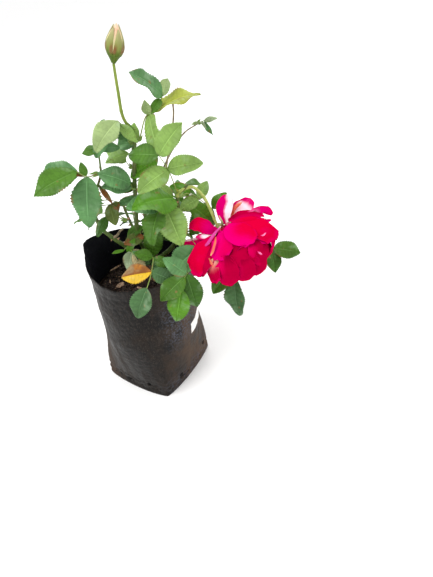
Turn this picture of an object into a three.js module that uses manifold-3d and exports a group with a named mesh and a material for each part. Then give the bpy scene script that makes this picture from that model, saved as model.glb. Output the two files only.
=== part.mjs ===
// A young rose bush in its nursery grow bag: a film bag of potting mix, a short woody crown, a few green
// canes, compound leaves, one open bloom on an arched stalk and one bud on an upright stalk.
// Millimetres, +Z up. The origin is the centre of the bag's flat underside.

import * as THREE from 'three';
import { mergeVertices } from 'three/addons/utils/BufferGeometryUtils.js';
import Module from 'manifold-3d';

// ---------------------------------------------------------------- driving dimensions

const GAP = 0.3; // clearance between pieces that carry each other

const BAG_LAY_FLAT = 203; // width of the flat film tube the bag is cut from
const BAG_MOUTH_RADIUS = BAG_LAY_FLAT / Math.PI;
const BAG_MOUTH_SQUASH = 0.05; // the open mouth is this share narrower along X and wider along Y
const BAG_BASE_HALF_DIAGONAL = 71; // the welded bottom stands as a square with soft corners
const BAG_BASE_TURN = 9; // heading of one bottom corner, degrees
const BAG_SQUARENESS = 1.2; // 1 is a sharp square, 2 a circle
const BAG_MOUTH_SHIFT = 9.5; // the filled bag leans this far towards +X at its mouth
const BAG_SHOULDER = 171; // by this height the wall has the mouth's size and shift
const BAG_RIM = 178;
const BAG_RIM_SLANT = 7; // the rim stands higher on one side and lower on the other
const BAG_RIM_HIGH_SIDE = 215; // heading of the higher side
const BAG_EAR_RISE = 18; // one unfolded corner of the rim stands up
const BAG_EAR_HEADING = 160;
const BAG_EAR_SPREAD = 38;
const BAG_RIM_RIPPLE = 2; // the cut edge rises and falls by this much
const BAG_RIM_WAVES = 4;
const BAG_RIM_CREST = 108; // heading of one crest
const BAG_WALL = 1.2;
const BAG_HEM = 3; // rounding of the bottom edge
const BAG_SIDES = 32;
const DRAIN_HOLE_RADIUS = 3;
const DRAIN_HOLES = [[-101, 17], [-59, 18], [-2, 21], [62, 18], [131, 17]]; // heading, height

const SOIL_LEVEL = 140;
const SOIL_EDGE = 137; // it slumps a little against the film
const SOIL_ROUGHNESS = 2.5;

const FOOT = [22, 5]; // where the crown leaves the soil
const CROWN_FOOT_RADIUS = 9;
const CROWN_OUTLINE = [ // height, radius
  [0, CROWN_FOOT_RADIUS], [4, 7.3], [12, 6.1], [22, 5.8], [29, 6], [32, 3.4],
];
const CROWN_LEAN = [1.4, 0.8]; // how far its top leans
const CROWN_FORK = 6; // the canes part this far under its top

const LEAF_WIDTH = 0.66; // width of a leaflet over its length
const LEAF_THICKNESS = 0.9;
const LEAF_FOLD = 0.22; // how far the edges rise over the midrib, over the half width
const LEAF_ARCH = 0.05; // how far the midrib arches over the line from foot to tip, over the length
const LEAF_STALK_RADIUS = 0.9;
const LIGHT_HEADING = -90; // the leaves turn their faces to the light, which falls from the front
const LIGHT_RISE = 48;
const FAR_BLADE = 31; // end leaflet of a leaf on the far side
const FAR_SPREAD = 58; // how far its side leaflets turn from its stalk
const FAR_SWING = 38; // how far it turns from the way its cane leans

const CALYX = [106.5, -20, 215.5]; // where the bloom sits on its stalk
const NECK = 5; // the last bit of the stalk runs straight into the bloom
const BLOOM_AXIS = [0.494, -0.78, -0.385]; // the way the bloom faces
const BLOOM_RADIUS = 52;
const HIP_HEIGHT = 8; // the green cup under the petals
const PETAL_THICKNESS = 0.9;
const PETAL_OVERLAP = 2.5; // each petal of a whorl leans this much less or more than its neighbour, degrees

const BUD_BASE = [32, 2, 384];
const BUD_TIP = [42, 2, 413];
const BUD_RADIUS = 8.6;

// ---------------------------------------------------------------- colours

const material = (color, roughness) => new THREE.MeshStandardMaterial({ color, roughness, metalness: 0 });
const filmBlack = material(0x37322f, 0.55);
const soilBrown = material(0x2e231c, 0.95);
const barkBrown = material(0x6b5238, 0.85);
const caneGreen = material(0x5c7a35, 0.5);
const stalkGreen = material(0x9e9a44, 0.45);
const deadWood = material(0x5a4634, 0.9);
const leafGreen = material(0x5f8f45, 0.45);
const petalRed = material(0xd8093a, 0.5);
const budGreen = material(0xa19c66, 0.5);

// ---------------------------------------------------------------- solids

const wasm = await Module();
wasm.setup();

const radians = THREE.MathUtils.degToRad;
const lerp = THREE.MathUtils.lerp;
const vec = (x, y, z) => new THREE.Vector3(x, y, z);
const UP = vec(0, 0, 1);

/** A unit vector from its heading (counter-clockwise from +X) and its rise above the level. */
function direction(heading, rise) {
  const h = radians(heading);
  const r = radians(rise);
  return vec(Math.cos(r) * Math.cos(h), Math.cos(r) * Math.sin(h), Math.sin(r));
}

/** A steady pseudo-random sequence from 0 to 1, the same on every run. */
function seeded(seed) {
  let state = seed >>> 0;
  return () => {
    state = (state * 1664525 + 1013904223) >>> 0;
    return state / 4294967296;
  };
}

/** Two triangles over four corners given in turn. */
const quad = (a, b, c, d) => [a, b, c, a, c, d];

/** Faces between two neighbouring rings; a ring of one point closes to a tip. */
function span(lower, upper, count) {
  const faces = [];
  for (let k = 0; k < count; k++) {
    const next = (k + 1) % count;
    if (upper.size === 1) {
      faces.push(lower.start + k, lower.start + next, upper.start);
    } else if (lower.size === 1) {
      faces.push(lower.start, upper.start + next, upper.start + k);
    } else {
      faces.push(...quad(lower.start + k, lower.start + next, upper.start + next, upper.start + k));
    }
  }
  return faces;
}

/** A closed geometry through rings of equal count; an open ring at an end is closed by a fan. */
function loft(rings) {
  const centre = (ring) => [ring.reduce((sum, p) => sum.add(p), vec(0, 0, 0)).divideScalar(ring.length)];
  const first = rings[0];
  const last = rings[rings.length - 1];
  const closed = [
    ...(first.length > 1 ? [centre(first)] : []),
    ...rings,
    ...(last.length > 1 ? [centre(last)] : []),
  ];
  const count = Math.max(...rings.map((ring) => ring.length));
  const faces = [];
  let start = 0;
  let below = null;
  for (const ring of closed) {
    const current = { start, size: ring.length };
    if (below) faces.push(...span(below, current, count));
    start += ring.length;
    below = current;
  }
  return indexed(closed.flat(), faces);
}

/** A geometry from its points and the numbers of each face's three points. */
function indexed(points, faces) {
  const xyz = points.flatMap((p) => [p.x, p.y, p.z]);
  const geometry = new THREE.BufferGeometry();
  geometry.setAttribute('position', new THREE.Float32BufferAttribute(xyz, 3));
  geometry.setIndex(faces);
  return geometry;
}

/** A geometry as a solid, turned right side out. */
function solid(geometry) {
  const plain = geometry.clone();
  plain.deleteAttribute('normal');
  plain.deleteAttribute('uv');
  const merged = mergeVertices(plain, 1e-4);
  const vertProperties = new Float32Array(merged.attributes.position.array);
  const triVerts = new Uint32Array(merged.index.array);
  if (signedVolume(vertProperties, triVerts) < 0) triVerts.reverse();
  return new wasm.Manifold(new wasm.Mesh({ numProp: 3, vertProperties, triVerts }));
}

function signedVolume(xyz, faces) {
  const corner = (k) => vec(xyz[3 * k], xyz[3 * k + 1], xyz[3 * k + 2]);
  let volume = 0;
  for (let f = 0; f < faces.length; f += 3) {
    volume += corner(faces[f]).dot(corner(faces[f + 1]).cross(corner(faces[f + 2]))) / 6;
  }
  return volume;
}

/** Solids fused to one body: a hollow that the fusing seals is filled and a loose scrap is dropped. */
function fuse(solids) {
  const parts = wasm.Manifold.union(solids).decompose();
  return parts.sort((a, b) => b.volume() - a.volume())[0];
}

const bush = new THREE.Group();

/** Adds a solid to the bush as one named mesh. */
function add(name, body, finish) {
  const { vertProperties, triVerts } = body.getMesh();
  const geometry = new THREE.BufferGeometry();
  geometry.setAttribute('position', new THREE.BufferAttribute(new Float32Array(vertProperties), 3));
  geometry.setIndex(new THREE.BufferAttribute(new Uint32Array(triVerts), 1));
  geometry.computeVertexNormals();
  const mesh = new THREE.Mesh(geometry, finish);
  mesh.name = name;
  bush.add(mesh);
}

// The bloom's own frame: out along its axis, to its top and to its right.
const bloomAxis = vec(...BLOOM_AXIS).normalize();
const bloomTop = UP.clone().projectOnPlane(bloomAxis).normalize();
const bloomRight = vec(0, 0, 0).crossVectors(bloomTop, bloomAxis);

/** A point of the bloom from its distances to the right, to the top and out along its axis. */
function bloomPoint(right, top, out) {
  return vec(...CALYX)
    .addScaledVector(bloomRight, right)
    .addScaledVector(bloomTop, top)
    .addScaledVector(bloomAxis, out);
}

// ---------------------------------------------------------------- the grow bag

/** Outer radius of the bottom at a heading: a square with soft corners. */
function baseRadius(heading) {
  const h = radians(heading - BAG_BASE_TURN);
  const n = BAG_SQUARENESS;
  return BAG_BASE_HALF_DIAGONAL / (Math.abs(Math.cos(h)) ** n + Math.abs(Math.sin(h)) ** n) ** (1 / n);
}

/** Height of the rim at a heading, with the ear that stands up at one corner. */
function rimHeight(heading) {
  const slant = BAG_RIM_SLANT * Math.cos(radians(heading - BAG_RIM_HIGH_SIDE));
  const off = ((heading - BAG_EAR_HEADING + 540) % 360) - 180;
  const ripple = BAG_RIM_RIPPLE * Math.cos(radians(BAG_RIM_WAVES * (heading - BAG_RIM_CREST)));
  const ear = BAG_EAR_RISE * Math.exp(-((off / BAG_EAR_SPREAD) ** 2));
  return BAG_RIM + slant + ripple + ear;
}

/** A point of the bag's side: heading, height and how far inside the outer face it lies. */
function bagPoint(heading, height, inset) {
  const level = height / BAG_SHOULDER;
  const round = THREE.MathUtils.smoothstep(level, 0, 0.55);
  const h = radians(heading);
  const mouth = BAG_MOUTH_RADIUS * (1 - BAG_MOUTH_SQUASH * Math.cos(2 * h));
  const radius = lerp(baseRadius(heading), mouth, round) - inset;
  return vec(BAG_MOUTH_SHIFT * level + radius * Math.cos(h), radius * Math.sin(h), height);
}

function bagRing(heightAt, inset) {
  return Array.from({ length: BAG_SIDES }, (_, k) => {
    const heading = (360 * k) / BAG_SIDES;
    return bagPoint(heading, heightAt(heading), inset);
  });
}

const bagLevels = [BAG_HEM, 45, 92, SOIL_EDGE];

function makeGrowBag() {
  const outside = [
    bagRing(() => 0, BAG_HEM),
    ...bagLevels.map((height) => bagRing(() => height, 0)),
    bagRing(rimHeight, 0),
  ];
  const inside = [
    bagRing(rimHeight, BAG_WALL),
    ...bagLevels.slice(1).reverse().map((height) => bagRing(() => height, BAG_WALL)),
    bagRing(() => BAG_HEM + BAG_WALL, BAG_WALL),
    bagRing(() => BAG_WALL, BAG_HEM + BAG_WALL),
  ];
  let bag = solid(loft([...outside, ...inside]));
  for (const [heading, height] of DRAIN_HOLES) {
    const punch = new THREE.CylinderGeometry(DRAIN_HOLE_RADIUS, DRAIN_HOLE_RADIUS, 8, 10);
    punch.rotateZ(Math.PI / 2);
    punch.rotateZ(radians(heading));
    const centre = bagPoint(heading, height, BAG_WALL / 2);
    punch.translate(centre.x, centre.y, centre.z);
    bag = bag.subtract(solid(punch));
  }
  add('grow_bag', fuse([bag]), filmBlack);
}

// ---------------------------------------------------------------- the potting mix

function makeSoil() {
  const random = seeded(7);
  const inset = BAG_WALL + GAP;
  const edge = bagRing(() => SOIL_EDGE, inset);
  const bed = [0.45, 0.75].map((share) => edge.map((p) => vec(
    lerp(FOOT[0], p.x, share),
    lerp(FOOT[1], p.y, share),
    SOIL_LEVEL + SOIL_ROUGHNESS * (2 * random() - 1.2),
  )));
  const collar = flatRing(vec(...FOOT, SOIL_LEVEL), CROWN_FOOT_RADIUS + 2, BAG_SIDES);
  const sides = bagLevels.slice(1, -1).reverse().map((height) => bagRing(() => height, inset));
  const bottom = [bagRing(() => BAG_HEM + inset, inset), bagRing(() => inset, BAG_HEM + inset)];
  add('potting_soil', solid(loft([collar, ...bed, edge, ...sides, ...bottom])), soilBrown);
}

// ---------------------------------------------------------------- stems

/** A tapering limb along a smooth line through points, with flat ends square to it. */
function limb(points, fromRadius, toRadius, sides = 7, steps = 2 * (points.length - 1)) {
  const curve = new THREE.CatmullRomCurve3(points.map((p) => vec(...p)));
  const frames = curve.computeFrenetFrames(steps, false);
  const rings = [];
  const spine = [];
  for (let s = 0; s <= steps; s++) {
    const centre = curve.getPointAt(s / steps);
    spine.push(centre);
    const radius = lerp(fromRadius, toRadius, s / steps);
    rings.push(Array.from({ length: sides }, (_, k) => {
      const a = (2 * Math.PI * k) / sides;
      return centre.clone()
        .addScaledVector(frames.normals[s], radius * Math.cos(a))
        .addScaledVector(frames.binormals[s], radius * Math.sin(a));
    }));
  }
  return { curve, spine, fromRadius, toRadius, body: solid(loft(rings)) };
}

const TIP = Infinity; // as a height on a cane, its tip

// Each cane: the points it passes, its radius at foot and tip.
const canes = {
  bud_cane: limb([
    [20, 2, 176], [14, 3, 198], [15, 3, 219], [19, 3, 239], [25, 3, 273], [30, 3, 295], [35, 2, 315],
  ], 2.6, 1.9),
  second_cane: limb([[25, 7, 177], [23, 9, 200], [25, 11, 222], [33, 16, 248]], 2.3, 1.5),
  left_cane: limb([
    [13, 2, 171], [6, 0, 185], [-3, -2, 197], [-14, -5, 213], [-22, -6, 227], [-24, -7, 243],
  ], 2.6, 1.9),
  flower_cane: limb([
    [33, 3, 171], [48, 5, 181], [58, 5, 195], [63, 2, 225], [66, 0, 248],
  ], 2.8, 2),
  back_cane: limb([[27, 15, 171], [33, 29, 190], [39, 41, 214], [42, 48, 240]], 2.3, 1.4),
  back_left_cane: limb([[17, 13, 172], [8, 27, 190], [1, 39, 210], [-3, 45, 232]], 2.2, 1.4),
};

/** The point, the direction and the radius of a cane where it first passes a height, or at its tip. */
function onCane({ curve, spine, fromRadius, toRadius }, height) {
  const k = spine.findIndex((p) => p.z >= height);
  if (k <= 0) {
    const end = k < 0 ? 1 : 0;
    return {
      point: curve.getPointAt(end),
      tangent: curve.getTangentAt(end),
      radius: lerp(fromRadius, toRadius, end),
    };
  }
  const below = spine[k - 1];
  const share = (height - below.z) / (spine[k].z - below.z);
  return {
    point: below.clone().lerp(spine[k], share),
    tangent: spine[k].clone().sub(below).normalize(),
    radius: lerp(fromRadius, toRadius, (k - 1 + share) / (spine.length - 1)),
  };
}

/** A level ring of points round a middle point. */
function flatRing(middle, radius, sides) {
  return Array.from({ length: sides }, (_, k) => {
    const a = (2 * Math.PI * k) / sides;
    return vec(middle.x + radius * Math.cos(a), middle.y + radius * Math.sin(a), middle.z);
  });
}

function makeCrown() {
  const foot = vec(...FOOT, SOIL_LEVEL + GAP);
  const [top] = CROWN_OUTLINE.at(-1);
  const middleAt = (height) => foot.clone().add(vec(...CROWN_LEAN, top).multiplyScalar(height / top));
  const trunk = solid(loft(CROWN_OUTLINE.map(([height, radius]) => flatRing(middleAt(height), radius, 10))));
  const heart = middleAt(top - CROWN_FORK);
  const carried = ['bud_cane', 'second_cane', 'left_cane', 'flower_cane', 'back_cane', 'back_left_cane'];
  const arms = carried.map((name) => {
    const { point, tangent, radius } = onCane(canes[name], 0);
    const end = point.clone().addScaledVector(tangent, -GAP);
    const bend = end.clone().addScaledVector(tangent, -2);
    return limb([heart, heart.clone().lerp(bend, 0.6), bend, end], radius * 1.3, radius * 1.05, 8, 5).body;
  });
  add('main_stem', fuse([trunk, ...arms]), barkBrown);
}

/** The next piece of a stem: it carries straight on, clear of the end of the one that carries it. */
function carriedBy(cane, points, fromRadius, toRadius, sides, steps) {
  const { point, tangent } = onCane(cane, TIP);
  const start = point.clone().addScaledVector(tangent, GAP);
  const step = start.clone().addScaledVector(tangent, 3);
  return limb([start, step, ...points], fromRadius, toRadius, sides, steps);
}

/** A side twig: its first step leaves the cane square to it, from just clear of its skin. */
function budding(cane, height, points, fromRadius, toRadius, sides) {
  const { start, step } = axil(cane, height, vec(...points[0]), fromRadius);
  return limb([start, step, ...points], fromRadius, toRadius, sides);
}

/** Where a side twig or a leaf stalk starts on its cane, and its first step; a tip carries straight on. */
function axil(cane, height, towards, radius) {
  const { point, tangent, radius: skin } = onCane(cane, height);
  const atTip = height === TIP;
  const outward = atTip ? tangent : towards.clone().sub(point).projectOnPlane(tangent).normalize();
  const start = point.clone().addScaledVector(outward, atTip ? GAP : skin + GAP);
  return { start, step: start.clone().addScaledVector(outward, 1.5 * radius + 0.8) };
}

function makeStems() {
  canes.left_shoot = carriedBy(canes.left_cane, [
    [-20, -7, 258], [-14, -7, 272], [-5, -7, 289], [-2, -5, 306],
  ], 1.6, 0.9, 6, 8);
  canes.bud_stalk = carriedBy(canes.bud_cane, [[29, 2, 337], [30, 2, 360], BUD_BASE], 1.7, 1.3, 7, 8);
  canes.flower_stalk = carriedBy(canes.flower_cane, [
    [74, -2, 257], [84, -2, 258], [93, -4, 248], [99, -8, 233], bloomPoint(0, 0, -NECK), CALYX,
  ], 1.8, 1.6, 7, 14);
  canes.dry_twig = budding(canes.second_cane, 240, [
    [49, 25, 262], [68, 28, 289], [84, 30, 305], [99, 30, 312],
  ], 1.2, 0.7, 5);
  canes.dead_stub = budding(canes.back_cane, 228, [[58, 42, 268], [75, 34, 322], [77, 34, 342]], 1.3, 0.9, 5);
  for (const [name, cane] of Object.entries(canes)) {
    if (name === 'left_cane') {
      const snag = limb([[-13, -5, 212], [-8, -5, 214], [-3, -4, 219], [1, -4, 221]], 1.6, 1.1, 6, 4);
      add(name, fuse([cane.body, snag.body]), caneGreen);
    } else {
      const dead = name === 'dead_stub' || name === 'dry_twig';
      const finish = dead ? deadWood : name.endsWith('stalk') ? stalkGreen : caneGreen;
      add(name, cane.body, finish);
    }
  }
}

// ---------------------------------------------------------------- leaves

/**
 * One leaflet: a folded, arched blade from a narrow foot to a point. It has four corners at each
 * station: the two edges and the midrib's upper and lower side.
 */
function leaflet(foot, light, heading, rise, length, turn = 0) {
  const along = direction(heading, rise);
  const side = vec(0, 0, 0).crossVectors(along, light).normalize().applyAxisAngle(along, radians(turn));
  const face = vec(0, 0, 0).crossVectors(side, along);
  const half = (LEAF_WIDTH * length) / 2;
  const stations = [[-0.03, 0.7], [0.24, 0.84 * half], [0.62, 0.94 * half]];
  const rings = stations.map(([share, width]) => {
    const middle = foot.clone().addScaledVector(along, share * length);
    middle.addScaledVector(face, 4 * LEAF_ARCH * length * share * (1 - share));
    const thick = (LEAF_THICKNESS / 2) * (1.3 - share);
    const lift = LEAF_FOLD * Math.max(width - 0.7, 0);
    return [
      middle.clone().addScaledVector(side, -width).addScaledVector(face, lift),
      middle.clone().addScaledVector(face, thick),
      middle.clone().addScaledVector(side, width).addScaledVector(face, lift),
      middle.clone().addScaledVector(face, -thick),
    ];
  });
  return solid(loft([...rings, [foot.clone().addScaledVector(along, length)]]));
}

/** Lays the legs of a leaf stalk end to end from the middle of its cane, from just clear of its skin. */
function stalkLine(cane, height, legs) {
  const { point } = onCane(cane, height);
  const [heading, rise] = legs[0];
  const towards = point.clone().addScaledVector(direction(heading, rise), 10);
  const { start, step } = axil(cane, height, towards, LEAF_STALK_RADIUS);
  const points = [start, step];
  const end = point.clone();
  for (const [legHeading, legRise, length] of legs) {
    points.push(end.addScaledVector(direction(legHeading, legRise), length).clone());
  }
  return new THREE.CatmullRomCurve3(points, false, 'centripetal');
}

/** One compound leaf: a three-sided stalk from just clear of its cane, and leaflets rooted in it. */
function makeLeaf({ name, cane, height, legs, blades, light = [LIGHT_HEADING, LIGHT_RISE] }) {
  const line = stalkLine(canes[cane], height, legs);
  const stalk = limb(line.points, LEAF_STALK_RADIUS, LEAF_STALK_RADIUS * 0.7, 3, line.points.length + 2);
  const leaflets = blades.map(([share, ...blade]) => (
    leaflet(stalk.curve.getPointAt(share * 0.998), direction(...light), ...blade)
  ));
  add(name, fuse([stalk.body, ...leaflets]), leafGreen);
}

// Each leaf: the cane and the height it leaves it at, the legs of its stalk (heading, rise, length) and its
// leaflets (share of the stalk, heading, rise, length, turn about its own midrib).
const leaves = [
  { name: 'top_leaf', cane: 'bud_cane', height: 313,
    legs: [[20, 51, 27], [27, 5, 9], [16, 51, 17]],
    blades: [[1, -158, 45, 38, 25], [1, 60, 43, 18], [0.93, -135, -28, 17], [0.72, 4, 14, 42, -40],
      [0.55, -86, 75, 15], [0.58, -79, -40, 46, 45]] },
  { name: 'light_leaf', cane: 'bud_stalk', height: 328,
    legs: [[-137, 41, 14]],
    blades: [[1, -141, -30, 36]] },
  { name: 'fan_leaf_left', cane: 'bud_cane', height: 311,
    legs: [[-170, 40, 8]],
    blades: [[0.9, -163, 55, 22]] },
  { name: 'fan_leaf_right', cane: 'bud_cane', height: 303,
    legs: [[70, 60, 10]],
    blades: [[1, 47, 74, 17], [0.7, 160, -5, 20]] },
  { name: 'middle_leaf', cane: 'flower_cane', height: 248,
    legs: [[-96, 61, 50], [-124, 62, 20]],
    blades: [[1, -7, 47, 38], [1, 158, 0, 33], [0.72, -9, 6, 35], [0.7, -145, -12, 38]] },
  { name: 'shoot_leaf', cane: 'left_shoot', height: TIP,
    legs: [[22, 70, 28]],
    blades: [[0.25, -168, 0, 17], [0.3, 16, -12, 20], [1, 22, 50, 8]] },
  { name: 'left_leaf', cane: 'left_shoot', height: 289,
    legs: [[-145, 9, 14], [-159, 42, 12]],
    blades: [[0.55, -112, -62, 50], [0.6, 113, 65, 14], [1, -158, -12, 47], [0.97, 165, -5, 40]] },
  { name: 'front_leaf', cane: 'bud_cane', height: 264,
    legs: [[-98, 44, 14]],
    blades: [[1, -158, 37, 35], [0.7, -165, 15, 30]] },
  { name: 'inner_leaf', cane: 'bud_cane', height: 286,
    legs: [[160, 41, 10]],
    blades: [[1, 160, 30, 22]] },
  { name: 'bright_leaf', cane: 'flower_cane', height: 241,
    legs: [[-108, 52, 11]],
    blades: [[1, -134, 20, 56]] },
  { name: 'low_front_leaf', cane: 'flower_cane', height: 236,
    legs: [[-130, 32, 30]],
    blades: [[1, -162, 14, 35], [0.95, -116, -37, 44, 25], [0.7, -68, -45, 46]] },
  { name: 'right_leaf', cane: 'flower_cane', height: 247,
    legs: [[43, -10, 18], [8, -46, 34]],
    blades: [[0.35, 163, 25, 24], [0.6, 43, 43, 22], [0.58, -158, -15, 25], [1, 17, 38, 24],
      [1, -153, -33, 40]] },
  { name: 'apron_leaf', cane: 'flower_cane', height: 194,
    legs: [[-74, -4, 55], [-119, -1, 20], [-131, -52, 14]],
    blades: [[0.8, 172, 48, 30], [0.84, -155, -27, 36], [1, -133, -64, 38], [0.8, -69, -69, 40]] },
  { name: 'low_right_leaf', cane: 'flower_cane', height: 191,
    legs: [[-24, -32, 66], [-36, -40, 16]],
    blades: [[0.86, -150, -40, 32], [1, -92, -68, 50, 30]] },
  { name: 'twig_leaf', cane: 'dry_twig', height: TIP,
    legs: [[10, 15, 7]],
    blades: [[0.9, -20, 10, 15], [0.3, -170, 0, 9], [0.6, -60, -40, 9], [1, -40, -60, 17, 40]] },
  { name: 'far_right_leaf', cane: 'flower_cane', height: 200,
    legs: [[2, -16, 74], [-21, -16, 41]],
    blades: [[0.97, -81, -60, 31], [1, -9, -14, 33]] },
  { name: 'rim_leaf', cane: 'bud_cane', height: 177,
    legs: [[-74, 27, 42], [-96, -6, 28], [-104, -8, 16]],
    blades: [[0.41, 170, 20, 21], [0.48, -23, -19, 20], [0.73, 180, -2, 33], [0.73, -21, -22, 26],
      [1, -146, -55, 36]] },
  { name: 'pale_leaf', cane: 'left_cane', height: 193,
    legs: [[-60, 10, 10]],
    blades: [[1, -110, -35, 24], [0.8, -50, -29, 24]] },
  { name: 'wilted_leaf', cane: 'left_shoot', height: 257,
    legs: [[-20, 0, 18]],
    blades: [[1, -80, -50, 22]] },
  { name: 'low_inner_leaf', cane: 'second_cane', height: 208,
    legs: [[-100, 0, 14]],
    blades: [[1, -168, -9, 24]] },
  { name: 'dark_inner_leaf', cane: 'second_cane', height: 214,
    legs: [[-20, 0, 14]],
    blades: [[1, -99, -52, 25], [0.9, -17, -46, 28]] },
];

// The far side of the bush: the cane, where its leaves look, their number, size and lowest and highest foot.
const farSide = [
  { cane: 'back_cane', away: 68, count: 4, scale: 1, from: 197, to: 228 },
  { cane: 'back_left_cane', away: 138, count: 2, scale: 0.95, from: 190, to: 208 },
  { cane: 'flower_cane', away: 71, count: 1, scale: 0.75, from: 184, to: 184 },
];

/** Leaves of the far side: they step up the cane, swing left and right of its outlook and face outwards. */
function farLeaves({ cane, away, count, scale, from, to }) {
  const random = seeded(31 + count);
  return Array.from({ length: count }, (_, k) => {
    const heading = away + (k % 2 ? 1 : -1) * (FAR_SWING + 12 * random());
    const size = scale * FAR_BLADE * (0.9 + 0.25 * random());
    const fall = -8 - 14 * random();
    const pairs = [[0.86, FAR_SPREAD, 0.92], [0.5, FAR_SPREAD + 8, 0.78]];
    return {
      name: `${cane}_leaf_${k + 1}`,
      cane,
      height: count > 1 ? lerp(from, to, k / (count - 1)) : from,
      light: [heading, 58],
      legs: [[heading, 30, 18 + 6 * random()], [heading, 4, 18]],
      blades: [
        [1, heading, fall, size],
        ...pairs.flatMap(([share, spread, part]) => [
          [share, heading + spread, fall, size * part],
          [share - 0.06, heading - spread, fall, size * part],
        ]),
      ],
    };
  });
}

// ---------------------------------------------------------------- the bud

function makeBud() {
  const base = vec(...BUD_BASE);
  const tip = vec(...BUD_TIP);
  const axis = tip.clone().sub(base);
  const length = axis.length();
  axis.normalize();
  const side = vec(0, 1, 0).cross(axis).normalize();
  const back = vec(0, 0, 0).crossVectors(axis, side);
  const outline = [[0.01, 0.18], [0.07, 0.42], [0.14, 0.4], [0.26, 0.78], [0.42, 1], [0.6, 0.92], [0.78, 0.6],
    [0.92, 0.28], [1, 0.05]];
  const rings = outline.map(([share, width]) => Array.from({ length: 10 }, (_, k) => {
    const a = (2 * Math.PI * k) / 10;
    return base.clone().addScaledVector(axis, GAP + share * (length - GAP))
      .addScaledVector(side, width * BUD_RADIUS * Math.cos(a))
      .addScaledVector(back, width * BUD_RADIUS * Math.sin(a));
  }));
  add('rose_bud', solid(loft(rings)), budGreen);
}

// ---------------------------------------------------------------- the bloom

// Each whorl from the outside in: petals, turn, length, width, lean at the foot and at the tip, cupping.
const whorls = [
  { petals: 5, turn: 14, length: 0.92, width: 0.85, lean: [50, 130], cup: -0.1 },
  { petals: 5, turn: 40, length: 1.08, width: 0.95, lean: [44, 94], cup: 0.1 },
  { petals: 5, turn: 74, length: 1.02, width: 0.95, lean: [12, 58], cup: 0.3 },
];

/** A petal: a broad curved sheet with a skin on both sides, closed all round its rim. */
function petal({ around, length, width, lean, cup }) {
  const rows = 4;
  const columns = 3;
  const a = radians(around);
  const skins = [1, -1].map((skin) => {
    const grid = [];
    for (let c = 0; c <= columns; c++) {
      const v = (2 * c) / columns - 1;
      const reach = length * (1 - 0.2 * v * v);
      let out = 5;
      let rise = HIP_HEIGHT;
      for (let r = 0; r <= rows; r++) {
        const u = r / rows;
        const tilt = radians(lerp(lean[0], lean[1], u));
        const half = 0.5 * width * (0.12 + 0.88 * Math.sin(Math.min(1, 1.25 * u) * Math.PI / 2));
        const inward = cup * half * v * v + (skin * PETAL_THICKNESS) / 2;
        const radial = out - Math.cos(tilt) * inward;
        const height = rise + Math.sin(tilt) * inward;
        grid.push(bloomPoint(
          radial * Math.cos(a) - v * half * Math.sin(a),
          radial * Math.sin(a) + v * half * Math.cos(a),
          height,
        ));
        out += (Math.sin(tilt) * reach) / rows;
        rise += (Math.cos(tilt) * reach) / rows;
      }
    }
    return grid;
  });
  const points = skins.flat();
  const n = skins[0].length;
  const id = (skin, c, r) => skin * n + c * (rows + 1) + r;
  const faces = [];
  for (let c = 0; c < columns; c++) {
    for (let r = 0; r < rows; r++) {
      faces.push(...quad(id(0, c, r), id(0, c + 1, r), id(0, c + 1, r + 1), id(0, c, r + 1)));
      faces.push(...quad(id(1, c, r), id(1, c, r + 1), id(1, c + 1, r + 1), id(1, c + 1, r)));
    }
  }
  const rim = [
    ...Array.from({ length: columns }, (_, c) => [c, 0]),
    ...Array.from({ length: rows }, (_, r) => [columns, r]),
    ...Array.from({ length: columns }, (_, c) => [columns - c, rows]),
    ...Array.from({ length: rows }, (_, r) => [0, rows - r]),
  ];
  rim.forEach(([c, r], k) => {
    const [d, s] = rim[(k + 1) % rim.length];
    faces.push(...quad(id(0, c, r), id(1, c, r), id(1, d, s), id(0, d, s)));
  });
  return solid(indexed(points, faces));
}

function makeBloom() {
  const ring = (out, radius) => Array.from({ length: 12 }, (_, k) => {
    const a = (2 * Math.PI * k) / 12;
    return bloomPoint(radius * Math.cos(a), radius * Math.sin(a), out);
  });
  const receptacle = solid(loft([
    ring(GAP, 2), ring(4, 4.5), ring(HIP_HEIGHT, 5.5), ring(16, 7), ring(30, 17), ring(40, 22),
    ring(47, 20), ring(45, 12), ring(39, 4),
  ]));
  const petals = whorls.flatMap(({ petals: count, turn, length, width, lean, cup }) => (
    Array.from({ length: count }, (_, k) => petal({
      around: turn + (360 * k) / count,
      length: length * BLOOM_RADIUS,
      width: width * BLOOM_RADIUS,
      lean: lean.map((tilt) => tilt + PETAL_OVERLAP * ((2 * k) % count)),
      cup,
    }))
  ));
  add('rose_bloom', fuse([receptacle, ...petals]), petalRed);
}

// ---------------------------------------------------------------- the whole bush

makeGrowBag();
makeSoil();
makeCrown();
makeStems();
[...leaves, ...farSide.flatMap(farLeaves)].forEach(makeLeaf);
makeBud();
makeBloom();

export default bush;
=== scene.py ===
# %% [markdown]
# # A young rose bush in its nursery grow bag
#
# A nursery sells a rose like this one in a bag of thin black film: a handful of green canes, compound
# leaves with toothed leaflets, one bud and one heavy bloom that nods on its stalk. The construction is
# already fixed in the imported model. This notebook puts the living surfaces on it: leaves, petals, bark,
# film and soil.
#
# The first cell loads the imported model as the frame. Nothing that is made here may grow out of it.

# %% Load the frame
import math

import bmesh
import bpy
import numpy as np
from mathutils import Matrix, Vector, noise


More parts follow.
